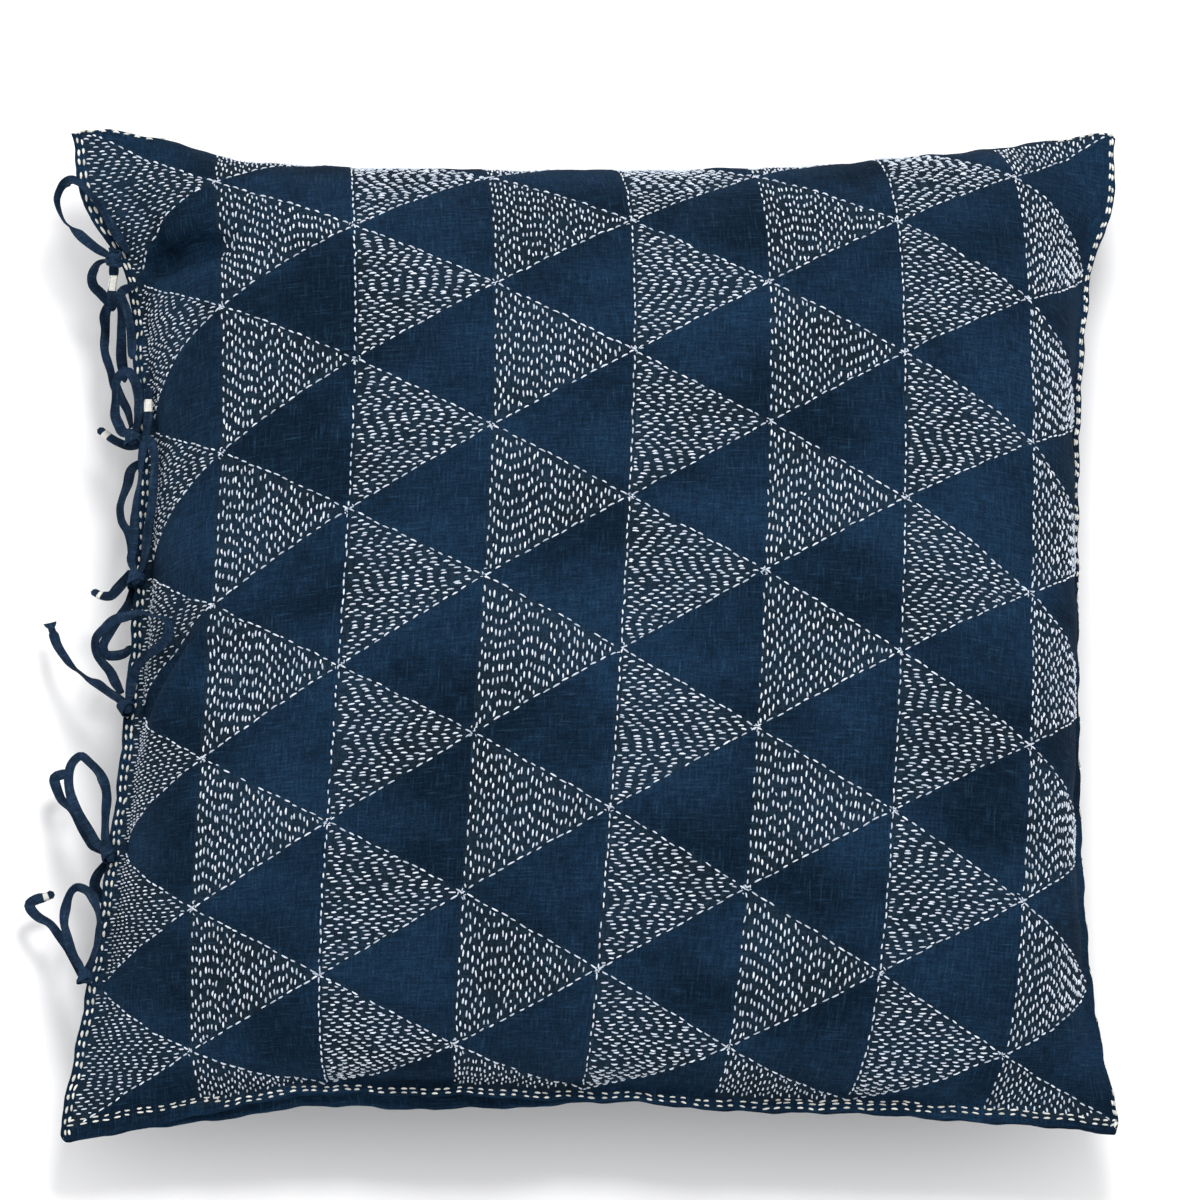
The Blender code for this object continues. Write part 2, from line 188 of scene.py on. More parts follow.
# Tie tapes, in metres
TAPE_WIDTH = 0.0060
TAPE_THICK = 0.0011
TAPE_STEP = 0.0016
ROUTE_PARTS = 12            # parts of the smooth curve between two points of a route
TAPE_SIDES = 12
TAPE_CUP = 0.00045          # the tape's edges bend out of its plane by this much
TAPE_ROUND = 0.0016         # its cut end is rounded off over this length
END_PINCH = 0.35            # it narrows by this share where it is sewn on or knotted
PINCH_REACH = 0.005
ROLL_EVERY = 0.013          # it rolls to a new side about this often
ROLL_MOST = 78              # by so many degrees at most
STILL_END = 0.020           # and hardly at its end
BAND_PITCH = 0.00072        # the thread that whips its end
BAND_RADIUS = 0.00042

# Each bow's ties, as in the part's source. knot: middle of the knot, the others: points that a tie
# follows, in millimetres
BOWS = [
    dict(knot=(-257, 206, 80),
         front=[(-258, 211, 85), (-257, 206, 80), (-257, 203, 76), (-257, 199, 72), (-258, 192, 68),
                (-258, 182, 64)],
         back=[(-249, 210, 78), (-254, 218, 79), (-259, 227, 79), (-264, 235, 81), (-270, 241, 86),
               (-275, 247, 84), (-280, 252, 76), (-285, 253, 65), (-288, 248, 59), (-287, 242, 56),
               (-284, 235, 58), (-279, 229, 63), (-273, 222, 67), (-267, 216, 70), (-263, 213, 71)],
         under=[(-260, 209, 68), (-264, 210, 62), (-267, 209, 57), (-269, 205, 54), (-268, 200, 53),
                (-264, 196, 52), (-261, 192, 52), (-259, 188, 52)]),
    dict(knot=(-246, 105, 79),
         front=[(-246, 101, 82), (-246, 105, 79), (-244, 113, 80), (-243, 121, 80), (-243, 128, 80),
                (-245, 137, 80), (-249, 143, 78), (-254, 142, 74), (-256, 136, 71), (-256, 129, 69),
                (-256, 122, 67), (-254, 117, 66), (-252, 113, 66)],
         back=[(-247, 118, 60), (-249, 128, 57), (-253, 137, 53), (-257, 147, 49), (-260, 158, 46),
               (-262, 168, 43), (-262, 179, 41), (-262, 188, 40), (-259, 194, 41), (-255, 194, 43),
               (-253, 188, 46), (-253, 178, 48), (-253, 170, 49), (-253, 161, 51), (-252, 152, 54),
               (-251, 144, 58)],
         lead=[(-253, 187, 80), (-250, 178, 79), (-248, 169, 79), (-247, 160, 79), (-247, 155, 79),
               (-247, 150, 79)],
         tail=[(-239, 116, 63), (-241, 110, 61), (-248, 108, 58), (-254, 111, 54), (-260, 116, 50),
               (-265, 121, 47)]),
    dict(knot=(-244, 26, 80),
         front=[(-243, 22, 83), (-244, 26, 80), (-241, 31, 81), (-239, 38, 83), (-238, 49, 85),
                (-236, 61, 89), (-235, 74, 92), (-234, 87, 93), (-235, 95, 93), (-238, 100, 92),
                (-240, 97, 90), (-241, 90, 88), (-242, 79, 85), (-244, 69, 83), (-245, 55, 81),
                (-246, 43, 79), (-247, 37, 77)],
         back=[(-247, 93, 62), (-249, 85, 61), (-252, 77, 59), (-253, 72, 58), (-252, 65, 58),
               (-249, 59, 60), (-247, 52, 61), (-246, 44, 62)],
         tail=[(-247, 32, 69), (-250, 30, 66), (-254, 27, 60), (-258, 25, 53), (-263, 27, 47),
               (-268, 31, 42)],
         curl=[(-247, 27, 62), (-248, 19, 58), (-253, 13, 54), (-258, 6, 50), (-262, -1, 48),
               (-261, -6, 47), (-256, -7, 47), (-250, -6, 49), (-247, -3, 52)],
         end=[(-239, 94, 84), (-239, 103, 84), (-238, 114, 84), (-238, 123, 83), (-238, 132, 83)]),
    dict(knot=(-249, -47, 80),
         front=[(-248, -51, 83), (-249, -47, 80), (-253, -40, 73), (-258, -34, 66), (-264, -27, 58),
                (-270, -21, 50), (-275, -15, 43), (-279, -10, 37), (-283, -3, 33), (-287, 5, 29),
                (-289, 12, 26), (-291, 19, 24)],
         back=[(-252, -35, 68), (-255, -29, 67), (-258, -22, 66), (-262, -17, 66), (-265, -13, 68),
               (-266, -9, 71), (-265, -5, 74), (-261, -2, 78), (-256, 1, 83), (-249, 1, 90),
               (-242, 0, 98), (-235, -4, 106), (-229, -8, 113), (-226, -14, 118), (-227, -20, 117),
               (-232, -23, 109), (-238, -24, 99), (-243, -26, 88), (-246, -30, 80),
               (-247, -37, 79)]),
    dict(knot=(-258, -128, 76),
         front=[(-257, -133, 78), (-258, -128, 76), (-260, -117, 70), (-260, -102, 64),
                (-260, -88, 58), (-263, -76, 54), (-269, -68, 51), (-274, -64, 49), (-279, -69, 48),
                (-280, -79, 49), (-277, -93, 53), (-269, -109, 60), (-265, -118, 65)],
         back=[(-261, -124, 63), (-266, -118, 56), (-270, -109, 49), (-275, -98, 42),
               (-279, -89, 36), (-284, -83, 32), (-287, -75, 28), (-288, -69, 26), (-284, -67, 26),
               (-279, -67, 27)],
         stem=[(-258, -125, 63), (-262, -130, 60), (-265, -134, 56), (-266, -139, 54),
               (-263, -144, 54), (-259, -148, 56), (-251, -150, 58)]),
    dict(knot=(-270, -195, 73),
         front=[(-269, -200, 77), (-270, -195, 73), (-266, -186, 77), (-263, -176, 80),
                (-263, -164, 78), (-265, -153, 70), (-270, -143, 59), (-276, -138, 50),
                (-280, -143, 50), (-282, -156, 51), (-280, -168, 54), (-277, -179, 58)],
         back=[(-272, -191, 55), (-276, -180, 49), (-280, -170, 43), (-285, -161, 37),
               (-290, -153, 32), (-296, -148, 28), (-300, -143, 25), (-301, -139, 24),
               (-297, -136, 23), (-293, -135, 23), (-288, -133, 24)]),
]
# Half sizes of a bow's knot and of the knot in a tape's end
KNOT = (0.0043, 0.0043, 0.0036)
END_KNOT = (0.0019, 0.0016, 0.0016)
# Free ends that are whipped with thread. before: middle of the band from the tape's end, length:
# length of the band, in metres
BANDS = {
    "tie_1_front": dict(before=0.0155, length=0.0080),
    "tie_2_tail": dict(before=0.0062, length=0.0042),
    "tie_3_end": dict(before=0.0101, length=0.0066),
    "tie_3_tail": dict(before=0.0070, length=0.0026),
    "tie_6_back": dict(before=0.0045, length=0.0028),
}
KNOTTED_ENDS = ("tie_4_front",)
# Lengths whose first or last end is drawn into the bow's knot
FIRST_IN_KNOT = ("tie_1_under", "tie_2_tail", "tie_3_tail", "tie_3_curl", "tie_5_back",
                 "tie_5_stem", "tie_6_back")
LAST_IN_KNOT = ("tie_1_back", "tie_2_front", "tie_3_front", "tie_3_back", "tie_4_back",
                "tie_5_front", "tie_6_front")
# Lengths that start on or under the hem, and the place they are sewn to, in millimetres
SEWN_AT = {"tie_3_back": (-240, 98, 64), "tie_2_lead": (-245, 192, 79)}
# A knot's turns of tape: place along it, slant and half width, as shares of its half length
KNOT_TURNS = ((-0.30, 0.45, 0.42), (0.34, -0.40, 0.40), (0.02, 0.05, 0.46))
FREE_ENDS = set(BANDS) | set(KNOTTED_ENDS) | {"tie_5_back"}

# Camera, in metres and degrees: what it looks at, and how much of that is in the picture
CAMERA_TARGET = (0.0037, 0.0103, 0.090)
CAMERA_ELEVATION = 71.6
CAMERA_DISTANCE = 20.0
VIEW_WIDTH = 0.6408
SENSOR_WIDTH = 36.0         # millimetres

# Light: where the key light is seen from, its distance and side in metres, its power in watts
KEY_FROM = (0.09, 0.28, 0.95)
KEY_DISTANCE = 3.0
KEY_SIZE = 0.8
KEY_POWER = 50
ROOM_STRENGTH = 1.08
FLOOR_HALF = 12


# Small helpers

def colour(code):
    """Linear colour of an sRGB hex value."""
    parts = [int(code[k:k + 2], 16) / 255 for k in (1, 3, 5)]
    return (*[c / 12.92 if c <= 0.04045 else ((c + 0.055) / 1.055) ** 2.4 for c in parts], 1)


def add_node(tree, kind, inputs=None, **settings):
    """Add a node with its settings; an input gets a value, a socket or a node's first output."""
    made = tree.nodes.new(kind)
    for name, value in settings.items():
        setattr(made, name, value)
    for name, value in (inputs or {}).items():
        if isinstance(value, bpy.types.Node):
            value = value.outputs[0]
        if isinstance(value, bpy.types.NodeSocket):
            tree.links.new(value, made.inputs[name])
        else:
            made.inputs[name].default_value = value
    return made


def new_object(name, data):
    """An object for some data, in the scene."""
    thing = bpy.data.objects.new(name, data)
    bpy.context.scene.collection.objects.link(thing)
    return thing


def mesh_object(name, points, faces, material, smooth=True):
    """A mesh piece from its points and faces."""
    mesh = bpy.data.meshes.new(name)
    mesh.from_pydata([tuple(p) for p in points], [], [tuple(f) for f in faces])
    if material:
        mesh.materials.append(material)
    if smooth:
        mesh.shade_smooth()
    return new_object(name, mesh)


def mark_points(mesh, name, values):
    """Give each point of a mesh a value of its own, under a name that a node tree reads."""
    layer = mesh.attributes.new(name, "FLOAT", "POINT")
    layer.data.foreach_set("value", np.array(values, np.float32))


def fix_normals(mesh):
    """Turn a closed mesh's faces outwards."""
    form = bmesh.new()
    form.from_mesh(mesh)
    bmesh.ops.recalc_face_normals(form, faces=form.faces)
    form.to_mesh(mesh)
    form.free()


def near(value, at, reach, power=2):
    """1 at a place, and falling away to nothing beyond some reach from it."""
    return np.exp(-np.abs((value - at) / reach) ** power)


def flattened(value, power):
    """A sine or cosine pushed outwards, which makes a round section flat-sided."""
    return np.sign(value) * np.abs(value) ** power


def turns_of(count):
    """Angles once round."""
    return np.linspace(0, 2 * math.pi, count, endpoint=False)


def tube_faces(rings, count, start=0, closed=False):
    """Faces between the rings of a tube; a closed one also joins its last ring to its first."""
    faces = []
    for k in range(rings if closed else rings - 1):
        a, b = start + k * count, start + (k + 1) % rings * count
        for j in range(count):
            n = (j + 1) % count
            faces.append((a + j, a + n, b + n, b + j))
    return faces


# Materials

def new_material(name, roughness, sheen=0.0):
    """A matt material, its tree and its shader; sheen stands for the fuzz of the yarn."""
    material = bpy.data.materials.new(name)
    material.use_nodes = True
    tree = material.node_tree
    shader = tree.nodes["Principled BSDF"]
    shader.inputs["Roughness"].default_value = roughness
    shader.inputs["Specular IOR Level"].default_value = 0.03
    shader.inputs["Sheen Weight"].default_value = sheen
    shader.inputs["Sheen Roughness"].default_value = 0.4
    return material, tree, shader


# How uneven the cloth is, as noise on the flat cloth: its size across and along in millimetres, its
# detail, the part of its range that is used and what that is turned into
UNEVEN = {
    "dye": (90, 60, 3, 0.38, 0.62, 0, 1),
    "warp slub": (1 / 0.9, 14, 1, 0.58, 0.80, 0, 1),
    "weft slub": (14, 1 / 0.9, 1, 0.58, 0.80, 0, 1),
    "fleck": (1.1, 1.1, 1, 0.30, 0.72, 0.72, 1.22),
    "streak up": (1.3, 9, 2, 0.32, 0.70, 0.76, 1.22),
    "streak over": (9, 1.3, 2, 0.32, 0.70, 0.76, 1.22),
    "pucker": (2.6, 2.6, 1, 0, 1, 0, 1),
}


def cotton_cloth(name, navy, lighter, slub, uv_size, weave_step, depth):
    """Plain-woven cotton, hand-spun and dyed in indigo.

    The eye gets a matt navy with uneven dye, lighter slubs along both threads and a fine weave.
    Where it is stitched it puckers, and it is painted greyer and darkened a little there: painted
    shade that stands for the small shadows between the puckered stitches. weave_step is the
    distance between two threads
    drawn, in millimetres: coarser than the real half a millimetre, so that it shows.
    """
    material, tree, shader = new_material(name, 0.90)
    uv = add_node(tree, "ShaderNodeUVMap", uv_map="UVMap")
    flat = add_node(tree, "ShaderNodeMapping", {"Vector": uv, "Scale": (uv_size, uv_size, 1)})
    split = add_node(tree, "ShaderNodeSeparateXYZ", {0: flat})
    stitched = add_node(tree, "ShaderNodeAttribute", attribute_name="stitched")
    known = {"stitched": stitched.outputs["Fac"], "x": split.outputs[0], "y": split.outputs[1]}
    for kind, (wide, long, detail, low, high, to_low, to_high) in UNEVEN.items():
        sized = add_node(tree, "ShaderNodeMapping", {
            "Vector": flat, "Scale": (1 / wide, 1 / long, 1)})
        noise = add_node(tree, "ShaderNodeTexNoise", {
            "Vector": sized, "Scale": 1.0, "Detail": detail})
        known[kind] = add_node(tree, "ShaderNodeMapRange", {
            "Value": noise.outputs["Fac"], "From Min": low, "From Max": high,
            "To Min": to_low, "To Max": to_high})
    wave = 2 * math.pi / weave_step
    for made, operation, *parts in (
            ("slubs", "MAXIMUM", "warp slub", "weft slub"),
            ("slub share", "MULTIPLY", "slubs", 0.34),
            ("flecks", "MULTIPLY", "fleck", "streak up"),
            ("streaks", "MULTIPLY", "flecks", "streak over"),
            # painted shade: where stitched, the cloth is darkened and greyed a little for the
            # shadows between its puckered stitches
            ("painted stitch shade", "MULTIPLY_ADD", "stitched", -0.10, 1.0),
            ("tone", "MULTIPLY", "streaks", "painted stitch shade"),
            ("painted stitch grey", "MULTIPLY", "stitched", 0.30),
            ("turned x", "MULTIPLY", "x", wave),
            ("turned y", "MULTIPLY", "y", wave),
            ("over", "SINE", "turned x"),
            ("under", "SINE", "turned y"),
            ("weave", "MULTIPLY", "over", "under"),
            ("thick threads", "MULTIPLY", "slubs", 0.6),
            ("woven", "MULTIPLY_ADD", "weave", 0.25, "thick threads"),
            ("puckered", "MULTIPLY_ADD", "stitched", 1.85, 0.35),
            ("relief", "MULTIPLY_ADD", "pucker", "puckered", "woven")):
        inputs = {k: known.get(part, part) for k, part in enumerate(parts)}
        known[made] = add_node(tree, "ShaderNodeMath", inputs, operation=operation)
    shade = colour(navy)
    # 283337 is the painted grey shade of the stitched ground; the other two mixes are the uneven
    # dye and the slubs
    for share, towards in (("dye", lighter), ("slub share", slub), ("painted stitch grey", "#283337")):
        mixed = add_node(tree, "ShaderNodeMix", {0: known[share], 6: shade, 7: colour(towards)},
                         data_type="RGBA")
        shade = mixed.outputs[2]
    # tone holds the dye's random flecks and streaks times the painted shade of the stitched ground
    toned = add_node(tree, "ShaderNodeVectorMath", {0: shade, "Scale": known["tone"]},
                     operation="SCALE")
    bump = add_node(tree, "ShaderNodeBump", {
        "Height": known["relief"], "Strength": 0.75, "Distance": depth})
    tree.links.new(toned.outputs[0], shader.inputs["Base Color"])
    tree.links.new(bump.outputs[0], shader.inputs["Normal"])
    return material


def cotton_thread(name, pale, dark):
    """Soft undyed cotton thread in several loose strands.

    The eye gets matt off-white, a little different from stitch to stitch, with a faint twist.
    """
    material, tree, shader = new_material(name, 0.75, 0.20)
    tone = add_node(tree, "ShaderNodeAttribute", attribute_name="tone")
    mixed = add_node(tree, "ShaderNodeMix", {
        0: tone.outputs["Fac"], 6: colour(dark), 7: colour(pale)}, data_type="RGBA")
    place = add_node(tree, "ShaderNodeTexCoord")
    strands = add_node(tree, "ShaderNodeTexNoise", {
        "Vector": place.outputs["Object"], "Scale": 1800.0, "Detail": 1.0})
    bump = add_node(tree, "ShaderNodeBump", {
        "Height": strands, "Strength": 0.5, "Distance": 0.0002})
    tree.links.new(mixed.outputs[2], shader.inputs["Base Color"])
    tree.links.new(bump.outputs[0], shader.inputs["Normal"])
    return material


def studio_floor():
    """Matt white studio board: bright, without pattern."""
    material, _, shader = new_material("white_board", 0.9)
    shader.inputs["Base Color"].default_value = colour("#f6f6f7")
    return material


# Camera, floor and light

def aim_from(thing, towards, target, distance):
    """Put a camera or light at a distance from its target, looking at it."""
    thing.location = target + towards * distance
    thing.rotation_euler = towards.to_track_quat("Z", "Y").to_euler()


def set_camera():
    """A long lens from above the bottom side, far enough to show the cushion nearly flat."""
    data = bpy.data.cameras.new("camera")
    data.sensor_width = SENSOR_WIDTH
    data.lens = SENSOR_WIDTH * CAMERA_DISTANCE / VIEW_WIDTH
    data.clip_end = 3 * CAMERA_DISTANCE
    camera = new_object("camera", data)
    elevation = math.radians(CAMERA_ELEVATION)
    back = Vector((0, -math.cos(elevation), math.sin(elevation)))
    aim_from(camera, back, Vector(CAMERA_TARGET), CAMERA_DISTANCE)
    bpy.context.scene.camera = camera


def set_light():
    """A soft light high above the top side, slightly from the right, and a pale room."""
    scene = bpy.context.scene
    scene.view_settings.view_transform = "Standard"
    scene.view_settings.look = "None"
    scene.world = bpy.data.worlds.new("pale_room")
    scene.world.use_nodes = True
    backdrop = scene.world.node_tree.nodes["Background"]
    backdrop.inputs["Color"].default_value = (1, 1, 1, 1)
    backdrop.inputs["Strength"].default_value = ROOM_STRENGTH
    data = bpy.data.lights.new("key", "AREA")
    data.size = KEY_SIZE
    data.energy = KEY_POWER
    aim_from(new_object("key", data), Vector(KEY_FROM).normalized(), Vector(), KEY_DISTANCE)
    corners = [(x * FLOOR_HALF, y * FLOOR_HALF, 0) for x, y in ((-1, -1), (1, -1), (1, 1), (-1, 1))]
    mesh_object("floor", corners, [(0, 1, 2, 3)], studio_floor(), smooth=False)


# Tie tapes

def read_at(at, places, points):
    """Points of a line, or directions along it, at some places along it."""
    return np.stack([np.interp(at, places, points[:, k]) for k in range(3)], axis=-1)


def smooth_route(points, step):
    """Points a step apart on a smooth curve through a tie's points, in metres."""
    marks = [np.array(p, float) * MM for p in points]
    marks = [2 * marks[0] - marks[1]] + marks + [2 * marks[-1] - marks[-2]]
    fine = []
    for a, b, c, d in zip(marks, marks[1:], marks[2:], marks[3:]):
        for t in np.arange(ROUTE_PARTS) / ROUTE_PARTS:
            fine.append(0.5 * (2 * b + (c - a) * t + (2 * a - 5 * b + 4 * c - d) * t ** 2
                               + (3 * b - a - 3 * c + d) * t ** 3))
    fine = np.array(fine + [marks[-2]])
    lengths = np.concatenate([[0], np.cumsum(np.linalg.norm(np.diff(fine, axis=0), axis=1))])
    places = np.linspace(0, lengths[-1], max(round(lengths[-1] / step), 4) + 1)
    return read_at(places, lengths, fine)


def softened(values, radius):
    """Values evened out over their neighbours."""
    kernel = near(np.arange(-2 * radius, 2 * radius + 1), 0, radius * math.sqrt(2))
    padded = np.pad(values, 2 * radius, mode="edge")
    return np.convolve(padded, kernel / kernel.sum(), mode="valid")


def tape_frames(route, rng):
    """Directions across and out of a limp tape that rolls as it goes, and the places along it."""
    along = np.gradient(route, axis=0)
    along /= np.linalg.norm(along, axis=1)[:, None]
    level = np.cross(along, (0, 0, 1.0))
    level /= np.maximum(np.linalg.norm(level, axis=1), 0.2)[:, None]
    level /= np.linalg.norm(level, axis=1)[:, None]
    upright = np.cross(level, along)
    step = np.linalg.norm(np.diff(route, axis=0), axis=1).mean()
    heading = np.unwrap(np.arctan2(along[:, 1], along[:, 0]))
    bend = np.abs(softened(np.gradient(heading) / step, 3))
    places = np.arange(len(route)) * step
    marks = np.arange(0, places[-1] + 0.030, ROLL_EVERY)
    roll = np.interp(places, marks, rng.uniform(-ROLL_MOST, ROLL_MOST, len(marks)))
    tilt = np.radians(softened(roll, 3)) + math.radians(30) * np.tanh(softened(bend, 3) / 90)
    tilt *= np.clip((places[-1] - places - STILL_END) / 0.015, 0.1, 1)
    across = level * np.cos(tilt)[:, None] + upright * np.sin(tilt)[:, None]
    out = upright * np.cos(tilt)[:, None] - level * np.sin(tilt)[:, None]
    return across, out, places


def tape_sizes(name, places, rng, band, free):
    """Half width and half thickness along a tie, pinched at its ends and where it is whipped."""
    from_end = places[-1] - places
    width = TAPE_WIDTH / 2 * (0.88 + 0.10 * np.sin(places / 0.008 + rng.uniform(0, 6.28)))
    thick = np.full(len(places), TAPE_THICK / 2)
    width *= 1 - END_PINCH * near(places, 0, PINCH_REACH)
    if band:
        bound = near(from_end, band["before"], band["length"] * 0.62, 4)
        bound = np.where(from_end < band["before"], np.maximum(bound, 0.35), bound)
        width *= 1 - 0.32 * bound
        thick *= 1 + 0.7 * bound
    elif not free:
        width *= 1 - END_PINCH * near(from_end, 0, PINCH_REACH)
    if name.startswith(KNOTTED_ENDS):
        width *= 1 + 0.25 * near(from_end, 0, 0.002) - 0.55 * near(from_end, 0.0045, 0.002)
    else:
        width *= np.sqrt(1 - np.clip(1 - from_end / TAPE_ROUND, 0, 0.9) ** 2)
    return width, thick


def tape_piece(name, route, material, rng, band=None, free=False):
    """A tie: a folded tape swept along its route."""
    across, out, places = tape_frames(route, rng)
    width, thick = tape_sizes(name, places, rng, band, free)
    count, rings = TAPE_SIDES, len(route)
    flat_x = flattened(np.cos(turns_of(count)), 0.35)
    flat_y = flattened(np.sin(turns_of(count)), 0.55)
    bulge = np.outer(thick, flat_y) + TAPE_CUP * flat_x ** 2
    points = (route[:, None] + np.outer(width, flat_x)[..., None] * across[:, None]
              + bulge[..., None] * out[:, None]).reshape(-1, 3)
    ends = [tuple(range(count - 1, -1, -1)), tuple((rings - 1) * count + j for j in range(count))]
    tape = mesh_object(name, points, tube_faces(rings, count) + ends, material)
    uv = tape.data.uv_layers.new(name="UVMap")
    for face in tape.data.polygons:
        seam = {v % count for v in face.vertices} == {0, count - 1}
        for loop in face.loop_indices:
            ring, side = divmod(tape.data.loops[loop].vertex_index, count)
            share = 1.0 if seam and side == 0 else side / count
            uv.data[loop].uv = (share * 2 * TAPE_WIDTH / MM, places[ring] / MM)
    fix_normals(tape.data)
    return tape


def band_piece(name, route, band, material, rng):
    """Thread whipped round a tape's end, turn beside turn."""
    across, out, places = tape_frames(route, rng)
    middle, half = places[-1] - band["before"], band["length"] / 2
    turns, sides = 18, 6
    rim_x, rim_y = [flattened(wave, power)[:, None] for wave, power in (
        (np.cos(turns_of(turns)), 0.6), (np.sin(turns_of(turns)), 0.8))]
    round_x, round_y = np.cos(turns_of(sides))[:, None], np.sin(turns_of(sides))[:, None]
    points, faces = [], []
    for at in np.arange(middle - half, middle + half, BAND_PITCH):
        centre, side, up = [read_at(at, places, table) for table in (route, across, out)]
        side, up = side / np.linalg.norm(side), up / np.linalg.norm(up)
        outward = side * rim_x + up * rim_y
        outward /= np.linalg.norm(outward, axis=1)[:, None]
        rim = centre + side * rim_x * TAPE_WIDTH * 0.33 + up * rim_y * TAPE_THICK * 0.98
        faces += tube_faces(turns, sides, turns * sides * len(points), closed=True)
        points.append(rim[:, None] + BAND_RADIUS * (round_x * outward[:, None]
                                                    + round_y * np.cross(side, up)))
    piece = mesh_object(name, np.concatenate(points).reshape(-1, 3), faces, material)
    mark_points(piece.data, "tone", rng.uniform(0.3, 1.0, len(piece.data.vertices)))
    fix_normals(piece.data)
    return piece


def knot_piece(name, centre, heading, sizes, material, rng):
    """A bow's knot: a small core with slanted turns of flat tape drawn tight across it."""
    wide, long, high = sizes
    heading = heading / np.linalg.norm(heading)
    level = np.cross(heading, (0, 0, 1.0))
    level /= np.linalg.norm(level)
    up = np.cross(level, heading)
    rows, cols = 12, 18
    polar, turn = np.meshgrid(math.pi * np.arange(1, rows) / rows, turns_of(cols), indexing="ij")
    polar, turn = polar[..., None], turn[..., None]
    crease = 0.84 - 0.12 * np.cos(3 * turn + 4 * polar) ** 8
    core = centre - heading * long * np.cos(polar) + crease * np.sin(polar) * (
        level * wide * np.cos(turn) + up * high * np.sin(turn))
    points = [[centre - heading * long], core.reshape(-1, 3), [centre + heading * long]]
    last = (rows - 1) * cols + 1
    faces = tube_faces(rows - 1, cols, 1)
    faces += [(0, 1 + j, 1 + (j + 1) % cols) for j in range(cols)]
    faces += [(last, last - cols + (j + 1) % cols, last - cols + j) for j in range(cols)]
    turns, sides = 26, 8
    angle, side = turns_of(turns)[:, None], turns_of(sides)[:, None]
    flat = flattened(np.cos(side), 0.5)
    for aside, slant, half in KNOT_TURNS:
        slant += rng.uniform(-0.15, 0.15)
        outward = level * np.cos(angle) * wide + up * np.sin(angle) * high
        unit = outward / np.linalg.norm(outward, axis=1)[:, None]
        rim = centre + outward * 0.96 + heading * long * (aside + slant * np.cos(angle))
        faces += tube_faces(turns, sides, sum(map(len, points)), closed=True)
        points.append((rim[:, None] + unit[:, None] * 0.10 * wide * (np.sin(side) - 0.5 * flat ** 2)
                       + heading * long * half * flat).reshape(-1, 3))
    knot = mesh_object(name, np.concatenate(points), faces, material)
    uv = knot.data.uv_layers.new(name="UVMap")
    for loop in knot.data.loops:
        place = knot.data.vertices[loop.vertex_index].co
        uv.data[loop.index].uv = (place.x / MM + place.z / MM, place.y / MM)
    fix_normals(knot.data)
    return knot


def tie_seed(number, part):
    """A seed of its own for each length of tape."""
    return SEED * 1000 + number * 100 + sum(map(ord, part)) % 97


def into_knot(knot, end):
    """A point just inside a knot, on the way from a tie's end to the knot's middle."""
    return tuple(k + (e - k) * 0.3 for k, e in zip(knot, end))


def make_tie(number, part, points, knot, tape, thread):
    """One length of tape with what sits on it."""
    name = f"tie_{number}_{part}"
    rng = np.random.default_rng(tie_seed(number, part))
    if name in FIRST_IN_KNOT:
        points = [into_knot(knot, points[0])] + points
    if name in SEWN_AT:
        points = [SEWN_AT[name]] + points
    if name in LAST_IN_KNOT:
        points = points + [into_knot(knot, points[-1])]
    route = smooth_route(points, TAPE_STEP)
    band = BANDS.get(name)
    piece = tape_piece(name + "_tape", route, tape, rng, band, name in FREE_ENDS)
    extras = []
    if part == "front":
        heading = np.array(points[2], float) - np.array(points[0], float)
        extras.append(knot_piece(f"knot_{number}", np.array(knot) * MM, heading, KNOT, tape, rng))
    if band:
        again = np.random.default_rng(tie_seed(number, part))
        extras.append(band_piece(name + "_band", route, band, thread, again))
    if name in KNOTTED_ENDS:
        extras.append(knot_piece(name + "_end_knot", route[-4], route[-1] - route[-4], END_KNOT,
                                 tape, rng))
    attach(piece, BODY)
    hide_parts(name)
    for extra in extras:
        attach(extra, BODY)


def make_ties(tape, thread):
    """All ties, bow by bow, with their knots, whipped bands and knotted ends."""
    for number, bow in enumerate(BOWS, start=1):
        for part, points in bow.items():
            if part != "knot":
                make_tie(number, part, points, bow["knot"], tape, thread)


# The cover's form

def section_table(side):
    """Run and height of a side's rounded-over section against distance along it."""
    turn = np.linspace(0, math.pi / 2, SECTION_STEPS)
    run = np.sin(turn) ** (2 / SIDES[side]["full"])
    height = np.cos(turn) ** (2 / SIDES[side]["full"])
    rise = (CROWN_HEIGHT - SEAM_HEIGHT) / SIDES[side]["waist"]
    along = np.concatenate([[0], np.cumsum(np.hypot(np.diff(run), rise * np.diff(height)))])
    return along / along[-1], run, height


SECTIONS = {side: section_table(side) for side in SIDES}


def hem_distance(side, t):
    """Hem of a side from the middle line, at t from -1 to 1 along it."""
    row = SIDES[side]
    t = np.sign(t) * np.minimum(np.abs(t) + HEM_SHARE * np.abs(t) ** EDGE_POWER, 1)
    late = np.clip((t - row["at"]) / (1 - row["at"]), 0, 1) ** row["high"]
    early = np.clip((row["at"] - t) / (1 + row["at"]), 0, 1) ** row["low"]
    return row["waist"] + (TIP - row["waist"]) * np.where(t > row["at"], late, early)


def hem_bend(side, t):
    """How far a side's hem stands out from its even curve, at t from -1 to 1 along it."""
    return sum(out * near(t, at, half, BEND_POWER) for at, half, out in HEM_BENDS[side])


def section(value, low, high):
    """The section's run and height at places from -1 to 1."""
    share = np.minimum(np.abs(value) / BODY_EDGE, 1)
    return [np.where(value > 0, np.interp(share, SECTIONS[high][0], SECTIONS[high][k]),
                     np.interp(share, SECTIONS[low][0], SECTIONS[low][k])) for k in (1, 2)]


